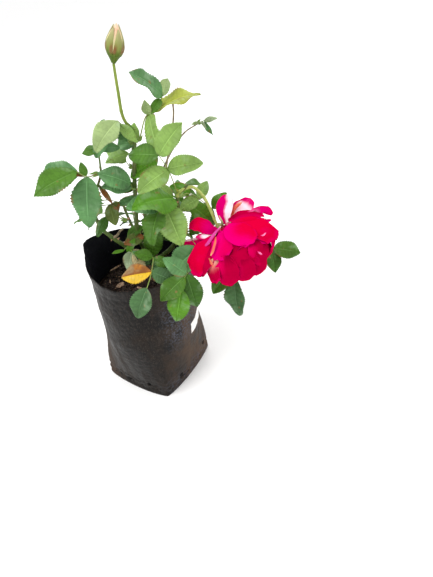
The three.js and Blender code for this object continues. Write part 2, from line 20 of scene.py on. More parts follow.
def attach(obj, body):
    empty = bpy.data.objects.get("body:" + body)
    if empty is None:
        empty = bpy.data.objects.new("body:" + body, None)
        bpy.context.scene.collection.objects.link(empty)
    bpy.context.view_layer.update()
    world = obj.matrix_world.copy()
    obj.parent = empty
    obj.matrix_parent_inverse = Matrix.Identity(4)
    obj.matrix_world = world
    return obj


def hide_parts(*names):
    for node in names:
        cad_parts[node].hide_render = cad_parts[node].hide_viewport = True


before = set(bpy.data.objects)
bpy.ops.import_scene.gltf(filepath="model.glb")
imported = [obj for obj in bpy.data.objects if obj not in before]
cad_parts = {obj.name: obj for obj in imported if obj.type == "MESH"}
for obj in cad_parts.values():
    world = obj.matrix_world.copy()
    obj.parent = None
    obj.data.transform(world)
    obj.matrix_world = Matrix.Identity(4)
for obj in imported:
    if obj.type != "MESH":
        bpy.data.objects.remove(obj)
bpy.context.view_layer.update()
MM = 0.001  # the sizes below are in millimetres, and Blender's are in metres
FULL_TURN = 6.28  # radians, near enough for an angle that is left to chance
print("nodes in the frame:", len(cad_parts))

# %% [markdown]
# ## Camera
#
# The bush stands on the ground and is looked down on by a standing person. The lens of a telephone is
# short, about 27 mm on full frame, so the bag narrows strongly towards its foot. A camera can be aimed
# by a Track To constraint or by its own axes. Its axes are used here, because a hand-held view is also
# rolled a little, and two turns say that plainly.

# %% Place the camera
EYE = (0.094, -0.424, 0.469)
LOOK_DOWN = math.radians(40)
ROLL = math.radians(-8)
LENS = 27.08
SENSOR = 36
NEAREST = 0.01


def add_object(name, data):
    """A new object, which is seen only once a collection holds it."""
    thing = bpy.data.objects.new(name, data)
    bpy.context.scene.collection.objects.link(thing)
    return thing


def make_camera():
    camera = add_object("camera", bpy.data.cameras.new("camera"))
    tilt = Matrix.Rotation(math.pi / 2 - LOOK_DOWN, 4, "X")
    turn = Matrix.Rotation(ROLL, 4, "Z")
    camera.matrix_world = Matrix.Translation(EYE) @ tilt @ turn
    camera.data.lens = LENS
    camera.data.sensor_width = SENSOR
    camera.data.clip_start = NEAREST
    bpy.context.scene.camera = camera
    return camera


camera = make_camera()
print("camera looks along", [round(x, 3) for x in -camera.matrix_world.col[2].xyz])

# %% [markdown]
# ## Smooth lines
#
# Every cane and leaf stalk follows a smooth line through a few points. Blender has curve objects for
# that, but the leaves need to know where a line is at some share of its length, so the line is worked
# out with numpy: a centripetal spline, sampled finely and measured along its length.


# %% A smooth line through points
def unit(v):
    v = np.asarray(v, float)
    return v / np.linalg.norm(v)


def direction(heading, rise):
    """A unit vector from its heading, counter-clockwise from +X, and its rise above the level."""
    h, r = math.radians(heading), math.radians(rise)
    return np.array([math.cos(r) * math.cos(h), math.cos(r) * math.sin(h), math.sin(r)])


def smoothstep(value, low, high):
    t = np.clip((value - low) / (high - low), 0, 1)
    return t * t * (3 - 2 * t)


class Line:
    """A smooth line through points, measured along its length."""

    FINE = 24  # samples between two points

    def __init__(self, points):
        p = [np.asarray(q, float) for q in points]
        p = [2 * p[0] - p[1], *p, 2 * p[-1] - p[-2]]
        t = np.linspace(0, 1, self.FINE, endpoint=False)[:, None]
        stretches = [self.stretch(p[k:k + 4], t) for k in range(len(p) - 3)]
        self.points = np.vstack([*stretches, p[-2][None]])
        steps = np.linalg.norm(np.diff(self.points, axis=0), axis=1)
        self.reach = np.concatenate([[0], np.cumsum(steps)])
        self.length = self.reach[-1]

    @staticmethod
    def stretch(p, t):
        gaps = [max(np.linalg.norm(p[k + 1] - p[k]) ** 0.5, 1e-6) for k in range(3)]
        rates = [(p[k + 1] - p[k]) / gaps[k] for k in range(3)]
        over = [(p[k + 2] - p[k]) / (gaps[k] + gaps[k + 1]) for k in range(2)]
        start = (rates[0] - over[0] + rates[1]) * gaps[1]
        end = (rates[1] - over[1] + rates[2]) * gaps[1]
        rise = p[2] - p[1]
        return p[1] + start * t + (3 * rise - 2 * start - end) * t**2 + (start + end - 2 * rise) * t**3

    def at(self, share):
        """The point at a share of the length."""
        where = np.clip(share, 0, 1) * self.length
        return np.stack([np.interp(where, self.reach, self.points[:, k]) for k in range(3)], -1)

    def along(self, share):
        """The direction of the line at a share of its length."""
        return unit(self.at(min(share + 0.01, 1)) - self.at(max(share - 0.01, 0)))

    def share_at_height(self, height):
        """The share of the length where the line first passes a height, or its end."""
        above = np.nonzero(self.points[:, 2] >= height)[0]
        if not len(above):
            return 1.0
        k = max(above[0], 1)
        low, high = self.points[k - 1, 2], self.points[k, 2]
        part = np.clip((height - low) / max(high - low, 1e-9), 0, 1)
        return float((self.reach[k - 1] + part * (self.reach[k] - self.reach[k - 1])) / self.length)


print("a quarter circle measures", round(Line([(10, 0, 0), (7.07, 7.07, 0), (0, 10, 0)]).length, 2))

# %% [markdown]
# ## Heaps of faces
#
# A bush is thousands of small closed surfaces. Making one object for each would drown the file, so
# points and faces are gathered in a heap and become one object at the end. Almost everything here is a
# net of points, rows by columns: a tube is a net that closes round, and a leaf or a petal is a net with
# a skin on both sides.


# %% Gather nets of points into one piece
def places_of(across, along):
    """The place of every point of a net, from the places of its columns and rows."""
    return np.stack(np.meshgrid(across, along), -1)


class Heap:
    """Points and faces gathered for one piece, in millimetres."""

    def __init__(self):
        self.points = []
        self.faces = []
        self.finish_of = []
        self.places = []
        self.count = 0

    def ring_net(self, net, finish_of_column, places=None):
        """A net that closes round, with a flat face at each end."""
        rows, columns = net.shape[:2]
        first = self.count
        self.points.append(net.reshape(-1, 3))
        self.places.append(np.zeros((rows * columns, 2)) if places is None else places.reshape(-1, 2))
        self.count += rows * columns
        index = first + np.arange(rows * columns).reshape(rows, columns)
        ahead = np.roll(index, -1, axis=1)
        quads = np.stack([index[:-1], ahead[:-1], ahead[1:], index[1:]], -1).reshape(-1, 4)
        self.faces.extend(quads.tolist())
        self.finish_of.extend(list(finish_of_column) * (rows - 1))
        self.faces.append(index[0][::-1].tolist())
        self.faces.append(index[-1].tolist())
        self.finish_of.extend([finish_of_column[0]] * 2)

    def sheet(self, net, thickness, upper, lower, places):
        """A net with a skin on both sides; upper holds the finish of each of its columns of faces."""
        across = np.gradient(net, axis=1)
        along = np.gradient(net, axis=0)
        normal = np.cross(across, along)
        normal /= np.maximum(np.linalg.norm(normal, axis=-1, keepdims=True), 1e-9)
        edge = np.abs(np.linspace(-1, 1, net.shape[1]))[None, :, None]
        half = 0.5 * thickness * (1 - 0.5 * edge**4)
        both = np.concatenate([net + half * normal, (net - half * normal)[:, ::-1]], axis=1)
        places = np.concatenate([places, places[:, ::-1]], axis=1)
        self.ring_net(both, [*upper, lower, *[lower] * len(upper), lower], places)

    def tube(self, line, radius_at, sides=8, steps=24, finish=0):
        """A tube along a line; radius_at gives the radius at each share of the length."""
        shares = np.linspace(0, 1, steps + 1)
        middle = line.at(shares)
        along = np.gradient(middle, axis=0)
        along /= np.linalg.norm(along, axis=1, keepdims=True)
        side = np.cross(along[0], [0.3, 0.2, 1.0] if abs(along[0][2]) < 0.9 else [1.0, 0.2, 0.0])
        rings = []
        angles = np.linspace(0, 2 * np.pi, sides, endpoint=False)
        for k in range(steps + 1):
            side = unit(side - along[k] * side.dot(along[k]))
            up = np.cross(along[k], side)
            round_it = np.cos(angles)[:, None] * side + np.sin(angles)[:, None] * up
            rings.append(middle[k] + np.reshape(radius_at(shares[k], angles), (-1, 1)) * round_it)
        self.ring_net(np.array(rings), [finish] * sides, places_of(angles / (2 * np.pi), shares))

    def mesh(self, name):
        mesh = bpy.data.meshes.new(name)
        mesh.from_pydata((np.vstack(self.points) * MM).tolist(), [], self.faces)
        return mesh

    def piece(self, name, finishes, slot, replaced=()):
        """The heap as one object that rides on the bush."""
        mesh = self.mesh(name)
        for finish in finishes:
            mesh.materials.append(finish.material)
        mesh.polygons.foreach_set("material_index", self.finish_of)
        mesh.polygons.foreach_set("use_smooth", [True] * len(mesh.polygons))
        corners = np.zeros(len(mesh.loops), np.int32)
        mesh.loops.foreach_get("vertex_index", corners)
        layer = mesh.uv_layers.new(name="blade")
        layer.data.foreach_set("uv", np.vstack(self.places)[corners].astype(np.float32).ravel())
        face_outwards(mesh)
        return put_on_bush(name, mesh, replaced)


def face_outwards(mesh):
    """Turns the faces of every closed shell outwards."""
    shape = bmesh.new()
    shape.from_mesh(mesh)
    bmesh.ops.recalc_face_normals(shape, faces=shape.faces)
    shape.to_mesh(mesh)
    shape.free()


def put_on_bush(name, mesh, replaced=()):
    thing = add_object(name, mesh)
    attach(thing, "root")
    if replaced:
        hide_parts(*replaced)
    print(f"{name}: {sum(len(p.vertices) - 2 for p in mesh.polygons)} triangles")
    return thing


# %% [markdown]
# ## Finishes
#
# A finish is a material whose colour, gloss and fine relief come from nodes. Writing nodes one by one
# hides the idea, so two small classes let a finish be written as a sum: a Term wraps a socket and adds a
# Math node for every operator, and a Finish adds any other node by its type.


# %% Write shader maths as expressions
class Term:
    """An output socket that can be used in an expression."""

    def __init__(self, finish, socket):
        self.finish = finish
        self.socket = socket

    def maths(self, operation, first, second):
        return self.finish.node("ShaderNodeMath", {"operation": operation}, {0: first, 1: second})

    def __add__(self, other):
        return self.maths("ADD", self, other)

    def __sub__(self, other):
        return self.maths("SUBTRACT", self, other)

    def __mul__(self, other):
        return self.maths("MULTIPLY", self, other)

    def __rsub__(self, other):
        return self.maths("SUBTRACT", other, self)

    def __abs__(self):
        return self.maths("ABSOLUTE", self, 0.0)

    __radd__ = __add__
    __rmul__ = __mul__


class Finish:
    """A material, and the ways to add nodes to it."""

    def __init__(self, name, fixed):
        self.material = bpy.data.materials.new(name)
        self.material.use_nodes = True
        self.tree = self.material.node_tree
        self.shader = self.tree.nodes["Principled BSDF"]
        for socket, value in fixed.items():
            self.shader.inputs[socket].default_value = value

    def node(self, kind, settings=None, values=None, output=0):
        """Adds a node: its settings first, then the values or links of its sockets."""
        node = self.tree.nodes.new(kind)
        for name, value in (settings or {}).items():
            setattr(node, name, value)
        for socket, value in (values or {}).items():
            if isinstance(value, Term):
                self.tree.links.new(value.socket, node.inputs[socket])
            else:
                node.inputs[socket].default_value = value
        return Term(self, node.outputs[output])

    def feed(self, terms):
        for socket, term in terms.items():
            self.tree.links.new(term.socket, self.shader.inputs[socket])

    def place(self):
        """The point on the piece, in metres."""
        return self.node("ShaderNodeTexCoord", output=3)

    def axes(self):
        """That point's X, Y and Z."""
        place = self.place()
        return [self.node("ShaderNodeSeparateXYZ", {}, {0: place}, k) for k in range(3)]

    def blade(self):
        """Where a point lies on its blade: across from side to side, and along from foot to tip."""
        spot = self.node("ShaderNodeUVMap", {"uv_map": "blade"})
        return [self.node("ShaderNodeSeparateXYZ", {}, {0: spot}, k) for k in (0, 1)]

    def grain(self, scale, detail=3.0, stretch=None):
        """Noise round 0.5 with lumps of about 1 / scale metres."""
        place = self.place()
        if stretch:
            place = self.node("ShaderNodeMapping", {}, {0: place, 3: stretch})
        return self.node("ShaderNodeTexNoise", {}, {"Vector": place, "Scale": scale, "Detail": detail})

    def between(self, value, low, high):
        """0 below low, 1 above high and a soft step between them."""
        settings = {"interpolation_type": "SMOOTHSTEP"}
        return self.node("ShaderNodeMapRange", settings, {0: value, 1: low, 2: high, 3: 0.0, 4: 1.0})

    def within(self, value, rise, fall):
        """1 between two soft steps, up and down again, and 0 outside."""
        return self.between(value, *rise) * (1 - self.between(value, *fall))

    def mix(self, share, first, second):
        """A colour between two colours."""
        return self.node("ShaderNodeMix", {"data_type": "RGBA"}, {0: share, 6: first, 7: second}, 2)

    def bump(self, height, depth, strength=1.0):
        """A normal from a height of 0 to 1 that stands for a real depth in millimetres."""
        values = {"Strength": strength, "Distance": depth * MM, "Height": height}
        return self.node("ShaderNodeBump", {}, values)


def colour(red, green, blue):
    """A paint colour of 0 to 255 as the light it reflects."""
    shares = [c / 255 for c in (red, green, blue)]
    return (*[c / 12.92 if c <= 0.04045 else ((c + 0.055) / 1.055) ** 2.4 for c in shares], 1.0)


def shade(paint, factor):
    """A colour made darker or lighter."""
    return (*[min(c * factor, 1.0) for c in paint[:3]], 1.0)


print("leaf green reflects", [round(c, 3) for c in colour(104, 150, 92)[:3]])

# %% [markdown]
# ## Floor and light
#
# A studio shot of a plant uses a pale sweep and large soft lamps, so leaves keep their own colour and
# cast only weak shadows. The floor is one wide plane. A lamp as wide as a window stands high behind the
# left shoulder, a weaker one fills the right, and a pale world lifts the rest.

# %% Lay the floor and hang the lamps
FLOOR_REACH = 14.0
FLOOR_LEVEL = -0.0004
LAMP_AIM = Vector((0.05, 0, 0.25))
LAMPS = (
    # name, place, width, power, tint
    ("window", (-0.9, -0.5, 1.7), 1.0, 18, (1, 0.99, 0.97)),
    ("fill", (1.2, -1.1, 1.0), 1.2, 6, (1, 1, 1)),
    ("back", (0.3, 1.4, 1.5), 1.2, 12, (1, 1, 1)),
)
WORLD_POWER = 1.06


def make_floor():
    mesh = bpy.data.meshes.new("floor")
    square = ((-1, -1), (1, -1), (1, 1), (-1, 1))
    corners = [(x * FLOOR_REACH, y * FLOOR_REACH, FLOOR_LEVEL) for x, y in square]
    mesh.from_pydata(corners, [], [(0, 1, 2, 3)])
    paper = Finish("pale paper", {"Roughness": 0.9})
    paper.feed({"Base Color": paper.mix(paper.grain(30), (0.92, 0.92, 0.92, 1), (0.94, 0.94, 0.935, 1))})
    mesh.materials.append(paper.material)
    add_object("floor", mesh)


def make_lamp(name, place, width, power, tint):
    lamp = bpy.data.lights.new(name, "AREA")
    lamp.size = width
    lamp.energy = power
    lamp.color = tint
    thing = add_object(name, lamp)
    thing.location = place
    thing.rotation_euler = (LAMP_AIM - Vector(place)).to_track_quat("-Z", "Y").to_euler()


def make_light():
    for lamp in LAMPS:
        make_lamp(*lamp)
    world = bpy.data.worlds.new("studio")
    world.use_nodes = True
    sky = world.node_tree.nodes["Background"]
    sky.inputs["Color"].default_value = (1, 1, 1, 1)
    sky.inputs["Strength"].default_value = WORLD_POWER
    bpy.context.scene.world = world
    bpy.context.scene.view_settings.view_transform = "Standard"


make_floor()
make_light()

# %% [markdown]
# ## The shape of the film bag
#
# The bag is a tube of black film, 203 mm wide when it lies flat, so its mouth is a circle of 129 mm. The
# bottom is sealed across and stands as a rounded square. Filled with damp mix the film is tight low down
# and loose at the rim, where one corner stands up like an ear. One function gives the ideal wall at any
# heading and height, and a second adds the folds and crumples, so the soil can follow the same film.

# %% The wall of the bag
BAG_LAY_FLAT = 203
BAG_MOUTH_RADIUS = BAG_LAY_FLAT / math.pi
BAG_MOUTH_SQUASH = 0.05
BAG_BASE_HALF_DIAGONAL = 71
BAG_BASE_TURN = 9
BAG_SQUARENESS = 1.2
BAG_MOUTH_SHIFT = 9.5
BAG_SHOULDER = 171  # by this height the wall has the mouth's size and shift
BAG_RIM = 178
BAG_RIM_SLANT = 7
BAG_RIM_HIGH_SIDE = 215
BAG_EAR_RISE = 18
BAG_EAR_HEADING = 160
BAG_EAR_SPREAD = 38
BAG_RIM_RIPPLE = 2
BAG_RIM_WAVES = 4
BAG_RIM_CREST = 108


def wall_point(heading, height, inset=0.0):
    """The ideal wall of the bag, or a point that lies inside it by the inset."""
    h = np.radians(heading)
    level = height / BAG_SHOULDER
    turned = np.radians(heading - BAG_BASE_TURN)
    lobes = np.abs(np.cos(turned)) ** BAG_SQUARENESS + np.abs(np.sin(turned)) ** BAG_SQUARENESS
    base = BAG_BASE_HALF_DIAGONAL / lobes ** (1 / BAG_SQUARENESS)
    mouth = BAG_MOUTH_RADIUS * (1 - BAG_MOUTH_SQUASH * np.cos(2 * h))
    rounded = smoothstep(level, 0, 0.55)
    radius = base + (mouth - base) * rounded - inset
    return np.stack([BAG_MOUTH_SHIFT * level + radius * np.cos(h), radius * np.sin(h), height + 0 * h], -1)


def rim_height(heading):
    slant = BAG_RIM_SLANT * np.cos(np.radians(heading - BAG_RIM_HIGH_SIDE))
    off = (heading - BAG_EAR_HEADING + 180) % 360 - 180
    ear = BAG_EAR_RISE * np.exp(-((off / BAG_EAR_SPREAD) ** 2))
    ripple = BAG_RIM_RIPPLE * np.cos(np.radians(BAG_RIM_WAVES * (heading - BAG_RIM_CREST)))
    return BAG_RIM + slant + ripple + ear


print("rim heights:", [round(float(rim_height(np.float64(h)))) for h in (0, 90, 172, 270)])

# %% [markdown]
# ## Folds and crumples
#
# Film that was folded flat keeps sharp creases, and damp mix pushes it into shallow pillows between
# them. Layers of noise make that: long upright folds, soft pillows, networks of creases where a noise
# crosses zero, a fine crackle, and low down, where the seam gathers the film, bunches and puckers. They
# are added to the wall as real depth, so the light breaks on them from every side. A cloth simulation
# could crumple it too, but it would also move the corners and the rim.


# %% Crumple the film
# the depth, the size of the lumps and the seed of each layer, in millimetres
FOLDS = (1.5, 24, 1)
PILLOWS = (0.45, 19, 2)
LONG_CREASES = (0.5, 20, 3)
SHORT_CREASES = (0.35, 7, 4)
CRACKLE = (0.14, 2.6, 5)
BUNCHES = (1.5, 13, 6)
PUCKERS = (0.6, 5, 7)
# below 1 the lumps are drawn out upright, above 1 they are pressed flat
UPRIGHT = np.array([1, 1, 0.24])
TALL = np.array([1, 1, 0.4])
FLAT = np.array([1, 1, 1.7])
LINE_SHARPNESS = 3.2


def noise_over(points, size, seed):
    """Smooth noise from -1 to 1 at each point, with lumps of the given size in millimetres."""
    flat = points.reshape(-1, 3) / size + 17.3 * seed
    return np.array([noise.noise(p) for p in flat.tolist()]).reshape(points.shape[:-1])


def crease(points, size, seed):
    """1 along a crooked network of lines and 0 between them."""
    return np.maximum(0, 1 - LINE_SHARPNESS * np.abs(noise_over(points, size, seed)))


def layer(pattern, points, depth, size, seed):
    return depth * pattern(points, size, seed)


def crumple(points, level):
    """How far the film stands out from its ideal wall, in millimetres."""
    loose = 0.4 + 0.6 * smoothstep(level, 0.55, 1.0) + 0.5 * (1 - smoothstep(level, 0.0, 0.16))
    low = 1 - smoothstep(level, 0.02, 0.17)
    folds = layer(noise_over, points * UPRIGHT, *FOLDS) * loose
    pillows = layer(noise_over, points, *PILLOWS)
    lines = layer(crease, points * TALL, *LONG_CREASES) + layer(crease, points, *SHORT_CREASES)
    crackle = layer(noise_over, points, *CRACKLE)
    bunched = low * (layer(crease, points * FLAT, *BUNCHES) + layer(crease, points, *PUCKERS))
    return folds + pillows - lines * (0.4 + loose) + crackle - bunched


RIM_FLARE = 1.5
EAR_CORNER = 166  # the ear is pinched to an edge here, where the bag was folded
EAR_EDGE = (5.0, 13)  # how far the edge stands out, and its spread in degrees
EAR_HOLLOW = (2.6, 40)  # the same for the hollow on both sides of it


def ear_bell(heading, far, spread):
    return far * np.exp(-(((heading - EAR_CORNER) / spread) ** 2))


def film_net(headings, levels, inset=0.0):
    """The crumpled film, rows from the base to the rim."""
    heading, share = np.meshgrid(headings, levels)
    height = share * rim_height(heading)
    ideal = wall_point(heading, height)
    depth = crumple(ideal, share) * smoothstep(height, 0, 9)
    flare = RIM_FLARE * smoothstep(share, 0.9, 1.0)
    pinch = (ear_bell(heading, *EAR_EDGE) - ear_bell(heading, *EAR_HOLLOW)) * smoothstep(share, 0.62, 1.0)
    return wall_point(heading, height, inset - depth - flare - pinch)


FILM_WALL = 0.5
INNER_FLOOR = FILM_WALL + 0.3
FILM_COLUMNS = 300
FILM_ROWS = 120
BASE_ROWS = 14
around = np.linspace(0, 360, FILM_COLUMNS, endpoint=False)
up_the_film = np.linspace(0, 1, FILM_ROWS) ** 0.92


def base_net(ring, height):
    """The sealed bottom, from its middle out to the ring."""
    middle = np.append(ring[:, :2].mean(axis=0), height)
    shares = np.linspace(0.02, 0.99, BASE_ROWS)[:, None, None]
    net = middle + (ring - middle) * shares
    net[..., 2] = height
    return net


outside = film_net(around, up_the_film)
inside = film_net(around, up_the_film, FILM_WALL)
inside[:, :, 2] = np.maximum(inside[:, :, 2], INNER_FLOOR)
inner_base = base_net(inside[0], INNER_FLOOR)
film = np.concatenate([base_net(outside[0], 0.0), outside, inside[::-1], inner_base[::-1]])
print("film stands out by up to", round(float(np.abs(outside - inside).max()), 2), "mm from its inner side")

# %% [markdown]
# ## The film's finish
#
# Black film is glossy when new. Outdoors its outside goes dull with splashed soil: brown-grey dust that
# is thicker on the right and the lower half, and streaks where water ran. A blue-grey painted sheen, a
# painted reflection of the sky, lies on a patch at the front, and painted glints lie on the creases at the
# hem. The inside stays clean and black. The masks come from noise and from the point's own place, and
# within() cuts out the patch of painted sheen.

# %% Paint the film
DAMP_LOOK = {"Specular IOR Level": 0.1}  # a weak mirror shine keeps black film from looking white


def clean_finish():
    skin = Finish("clean black film", DAMP_LOOK)
    clean = colour(24, 25, 30)
    cloud = skin.grain(60)
    scuff = skin.between(skin.grain(260, 3), 0.7, 0.74)
    black = skin.mix(cloud, shade(clean, 0.7), shade(clean, 1.5))
    skin.feed({
        "Base Color": skin.mix(scuff * 0.5, black, colour(110, 112, 118)),
        "Roughness": 0.42 + 0.2 * cloud,
        "Normal": skin.bump(skin.grain(420, 4), 0.25, 0.5),
    })
    return skin


def dusty_finish():
    skin = Finish("dusty black film", DAMP_LOOK)
    x, y, z = skin.axes()
    cloud = skin.grain(38, 5)
    streak = skin.grain(90, 4, (1, 1, 0.18))
    mottle = skin.grain(520, 6, (1, 1, 0.4))
    speck = skin.between(skin.grain(900, 2), 0.6, 0.7)
    east = skin.between(x, 0.0, 0.07)
    west = 1 - skin.between(x, -0.066, -0.036)
    low = 1 - skin.between(z, 0.0, 0.05)
    splashed = cloud * 0.5 + streak * 0.5 + east * 0.16 + west * 0.16 + low * 0.05
    dust = skin.between(splashed, 0.44, 0.76)
    brown = skin.mix(east, colour(40, 33, 28), colour(84, 68, 56))
    brown = skin.mix(west, brown, colour(66, 53, 45))
    grey = skin.mix(skin.grain(25, 2), colour(12, 11, 10), colour(25, 23, 22))
    paint = skin.mix(dust, grey, brown)
    paint = skin.mix(skin.between(mottle, 0.46, 0.72) * 0.45, paint, colour(58, 51, 46))
    paint = skin.mix(speck * 0.25, paint, colour(104, 95, 86))
    # painted sheen: a blue-grey painted reflection at the front and painted glints on the hem creases
    front = 1 - skin.between(y, -0.02, 0.01)
    patch = skin.within(x, (0.02, 0.04), (0.055, 0.07)) * skin.within(z, (0.06, 0.1), (0.14, 0.165))
    hem = skin.between(x, 0.0, 0.02) * (1 - skin.between(z, 0.012, 0.034))
    shine = patch * front * skin.between(skin.grain(420, 5), 0.48, 0.6)
    shine = shine + hem * skin.between(skin.grain(170, 5, (1, 1, 3)), 0.5, 0.58) * 0.7
    skin.feed({
        "Base Color": skin.mix(shine * 0.5, paint, colour(84, 90, 104)),
        "Roughness": 0.34 + 0.3 * dust + 0.14 * streak,
        "Normal": skin.bump(mottle + 0.5 * streak, 0.45, 0.8),
    })
    return skin


dusty_film = dusty_finish()
clean_film = clean_finish()

# %% [markdown]
# ## The bag with its drain holes
#
# The film is one closed skin: bottom, outside, rim, inside and inner bottom follow each other as rows of
# one net. A punch at the factory made the drain holes, so here round cutters take them out with a
# Boolean modifier, which leaves clean round edges in the crumpled wall.

# %% Make the bag and punch it
DRAIN_HOLE_RADIUS = 3
DRAIN_HOLES = ((-101, 17), (-59, 18), (-2, 21), (62, 18), (131, 17))  # heading and height
PUNCH_SIDES = 20
PUNCH_REACH = (-9, 12)  # from the wall, inwards and outwards


def make_cutter():
    cutter = Heap()
    for heading, height in DRAIN_HOLES:
        middle = wall_point(np.float64(heading), np.float64(height))
        outward = direction(heading, 0)
        line = Line([middle + reach * outward for reach in PUNCH_REACH])
        cutter.tube(line, lambda share, angles: DRAIN_HOLE_RADIUS + 0 * angles, PUNCH_SIDES, 1)
    mesh = cutter.mesh("punch")
    face_outwards(mesh)
    return add_object("punch", mesh)


def make_bag():
    heap = Heap()
    heap.ring_net(film, [0] * FILM_COLUMNS, places_of(around / 360, np.linspace(0, 1, len(film))))
    outer_rows = FILM_ROWS + BASE_ROWS
    heap.finish_of = [0 if k // FILM_COLUMNS < outer_rows else 1 for k in range(len(heap.faces))]
    bag = heap.piece("film_bag", [dusty_film, clean_film], "bag_film", ["grow_bag"])
    punch = make_cutter()
    cut = bag.modifiers.new("drain holes", "BOOLEAN")
    cut.operation = "DIFFERENCE"
    cut.object = punch
    cut.solver = "EXACT"
    seen = bpy.context.evaluated_depsgraph_get()
    punched = bpy.data.meshes.new_from_object(bag.evaluated_get(seen))
    bag.modifiers.clear()
    bag.data = punched
    bpy.data.objects.remove(punch)
    print("the bag has", len(punched.polygons), "faces")


make_bag()

# %% [markdown]
# ## A blank strip on the bag
#
# Nurseries stick a strip of white paper on the bag for their own notes. This one is blank. It is a thin
# sheet that follows the crumpled film a third of a millimetre off, so it shows every fold beneath it.

# %% Stick the strip on
STRIP_HEADINGS = (323, 372)
STRIP_HEIGHTS = (78, 95)
STRIP_LIFT = 0.35
STRIP_THICKNESS = 0.25
STRIP_NET = (60, 14)  # columns and rows


def paper_finish():
    paper = Finish("blank paper", {"Roughness": 0.7})
    stain = paper.between(paper.grain(140, 4), 0.5, 0.8)
    paper.feed({"Base Color": paper.mix(stain * 0.5, colour(238, 235, 231), colour(214, 206, 196))})
    return paper


def make_strip():
    columns, rows = STRIP_NET
    heading, height = np.meshgrid(np.linspace(*STRIP_HEADINGS, columns), np.linspace(*STRIP_HEIGHTS, rows))
    share = height / rim_height(heading)
    ideal = wall_point(heading, height)
    net = wall_point(heading, height, -crumple(ideal, share) - STRIP_LIFT)
    heap = Heap()
    places = places_of(np.linspace(0, 1, columns), np.linspace(0, 1, rows))
    heap.sheet(net, STRIP_THICKNESS, [0] * (columns - 1), 0, places)
    heap.piece("blank_strip", [paper_finish()], "bag_film")


make_strip()

# %% [markdown]
# ## Potting mix
#
# The mix is composted bark and coir: dark, damp and lumpy, with bark chips, dry sticks and petals that
# fell. The body fills the bag and its top is pushed up and down by noise. The loose bits are small
# closed chunks, strewn by a seeded rule and joined into one piece for each finish.

# %% Fill the bag
SOIL_LEVEL = 140
SOIL_RIM_DROP = 3
SOIL_CLEARANCE = 0.9
BUSH_FOOT = (22, 5)
MOUND_RISE = 2.0
MOUND_REACH = 20
CLODS = ((1.6, 15, 11), (1.2, 6.5, 12), (0.7, 2.8, 13))  # depth, size and seed of each layer
SOIL_SIDE_LEVELS = np.array([3, 20, 45, 80, 110, 128, 134])
SOIL_RINGS = 70


def soil_height(x, y):
    """The level of the mix, with clods, and a low mound round the foot of the bush."""
    flat = np.stack([x, y, 0 * x], -1)
    clods = sum(layer(noise_over, flat, *clod) for clod in CLODS)
    away = np.hypot(x - BUSH_FOOT[0], y - BUSH_FOOT[1])
    return SOIL_LEVEL + clods + MOUND_RISE * np.exp(-((away / MOUND_REACH) ** 2))


def soil_finish():
    mix = Finish("potting mix", {"Specular IOR Level": 0.15})
    clod = mix.grain(160, 5)
    lit = mix.between(mix.axes()[2], 0.12, 0.13)  # below it, behind the film, the mix is painted black: painted shade
    fleck = mix.between(mix.grain(700, 3), 0.6, 0.68)
    dark = mix.mix(mix.between(clod, 0.35, 0.65), colour(20, 13, 11), colour(54, 39, 31))
    mix.feed({
        "Base Color": mix.mix(lit, colour(3, 3, 3), mix.mix(fleck * 0.5, dark, colour(112, 88, 70))),
        "Roughness": 0.75 + 0.2 * clod,
        "Normal": mix.bump(mix.grain(520, 6), 1.2, 0.9),
    })
    return mix


def make_soil():
    heap = Heap()
    side = film_net(around, SOIL_SIDE_LEVELS / rim_height(0.0), FILM_WALL + SOIL_CLEARANCE)
    side[..., 2] = SOIL_SIDE_LEVELS[:, None]
    edge = side[-1, :, :2]
    middle = np.array([BAG_MOUTH_SHIFT, 0.0])
    shares = np.linspace(1, 0.004, SOIL_RINGS)[:, None]
    x, y = np.moveaxis(middle + (edge - middle) * shares[..., None], -1, 0)
    top = np.stack([x, y, soil_height(x, y) - SOIL_RIM_DROP * smoothstep(shares, 0.86, 1.0)], -1)
    heap.ring_net(np.concatenate([side, top]), [0] * FILM_COLUMNS)
    heap.piece("potting_mix", [soil_finish()], "potting_mix", ["potting_soil"])


make_soil()

# %% [markdown]
# ## Bark chips and crumbs
#
# Each loose bit is a lump of five rings, squashed and knocked about by the random draw: crumbs are round
# and chips are flat and splintered. A chip lies on the mix at the height that the mix has there.

# %% Strew the loose bits
bits = np.random.default_rng(7)
LUMP_RINGS = 5
LUMP_SIDES = 7
POLE_CUT = 0.25
STREW_REACH = 55


def ground(x, y):
    return float(soil_height(np.float64(x), np.float64(y)))


def lump(size, spin, place, knock):
    """A closed lump of the given three sizes, turned by spin and set down at place."""
    polar = np.linspace(POLE_CUT, np.pi - POLE_CUT, LUMP_RINGS)[:, None]
    angle = np.linspace(0, 2 * np.pi, LUMP_SIDES, endpoint=False)[None, :]
    level = np.cos(polar) + 0 * angle
    ball = np.stack([np.sin(polar) * np.cos(angle), np.sin(polar) * np.sin(angle), level], -1)
    ball *= 1 + knock * bits.uniform(-1, 1, ball.shape[:2])[..., None]
    ball *= np.array(size) / 2
    turn = np.array(Matrix.Rotation(spin[0], 3, "Z") @ Matrix.Rotation(spin[1], 3, "Y"))
    return ball @ turn.T + place


def strewn_place():
    angle, out = bits.uniform(0, 2 * np.pi), STREW_REACH * bits.uniform(0.05, 1) ** 0.5
    x, y = BAG_MOUTH_SHIFT + out * math.cos(angle), out * math.sin(angle)
    return x, y, ground(x, y)


def bark_finish(name, dark, pale):
    bark = Finish(name, {"Roughness": 0.85})
    fibre = bark.grain(420, 4, (1, 1, 0.3))
    bark.feed({
        "Base Color": bark.mix(bark.between(fibre, 0.35, 0.68), dark, pale),
        "Normal": bark.bump(fibre, 0.5, 0.8),
    })
    return bark


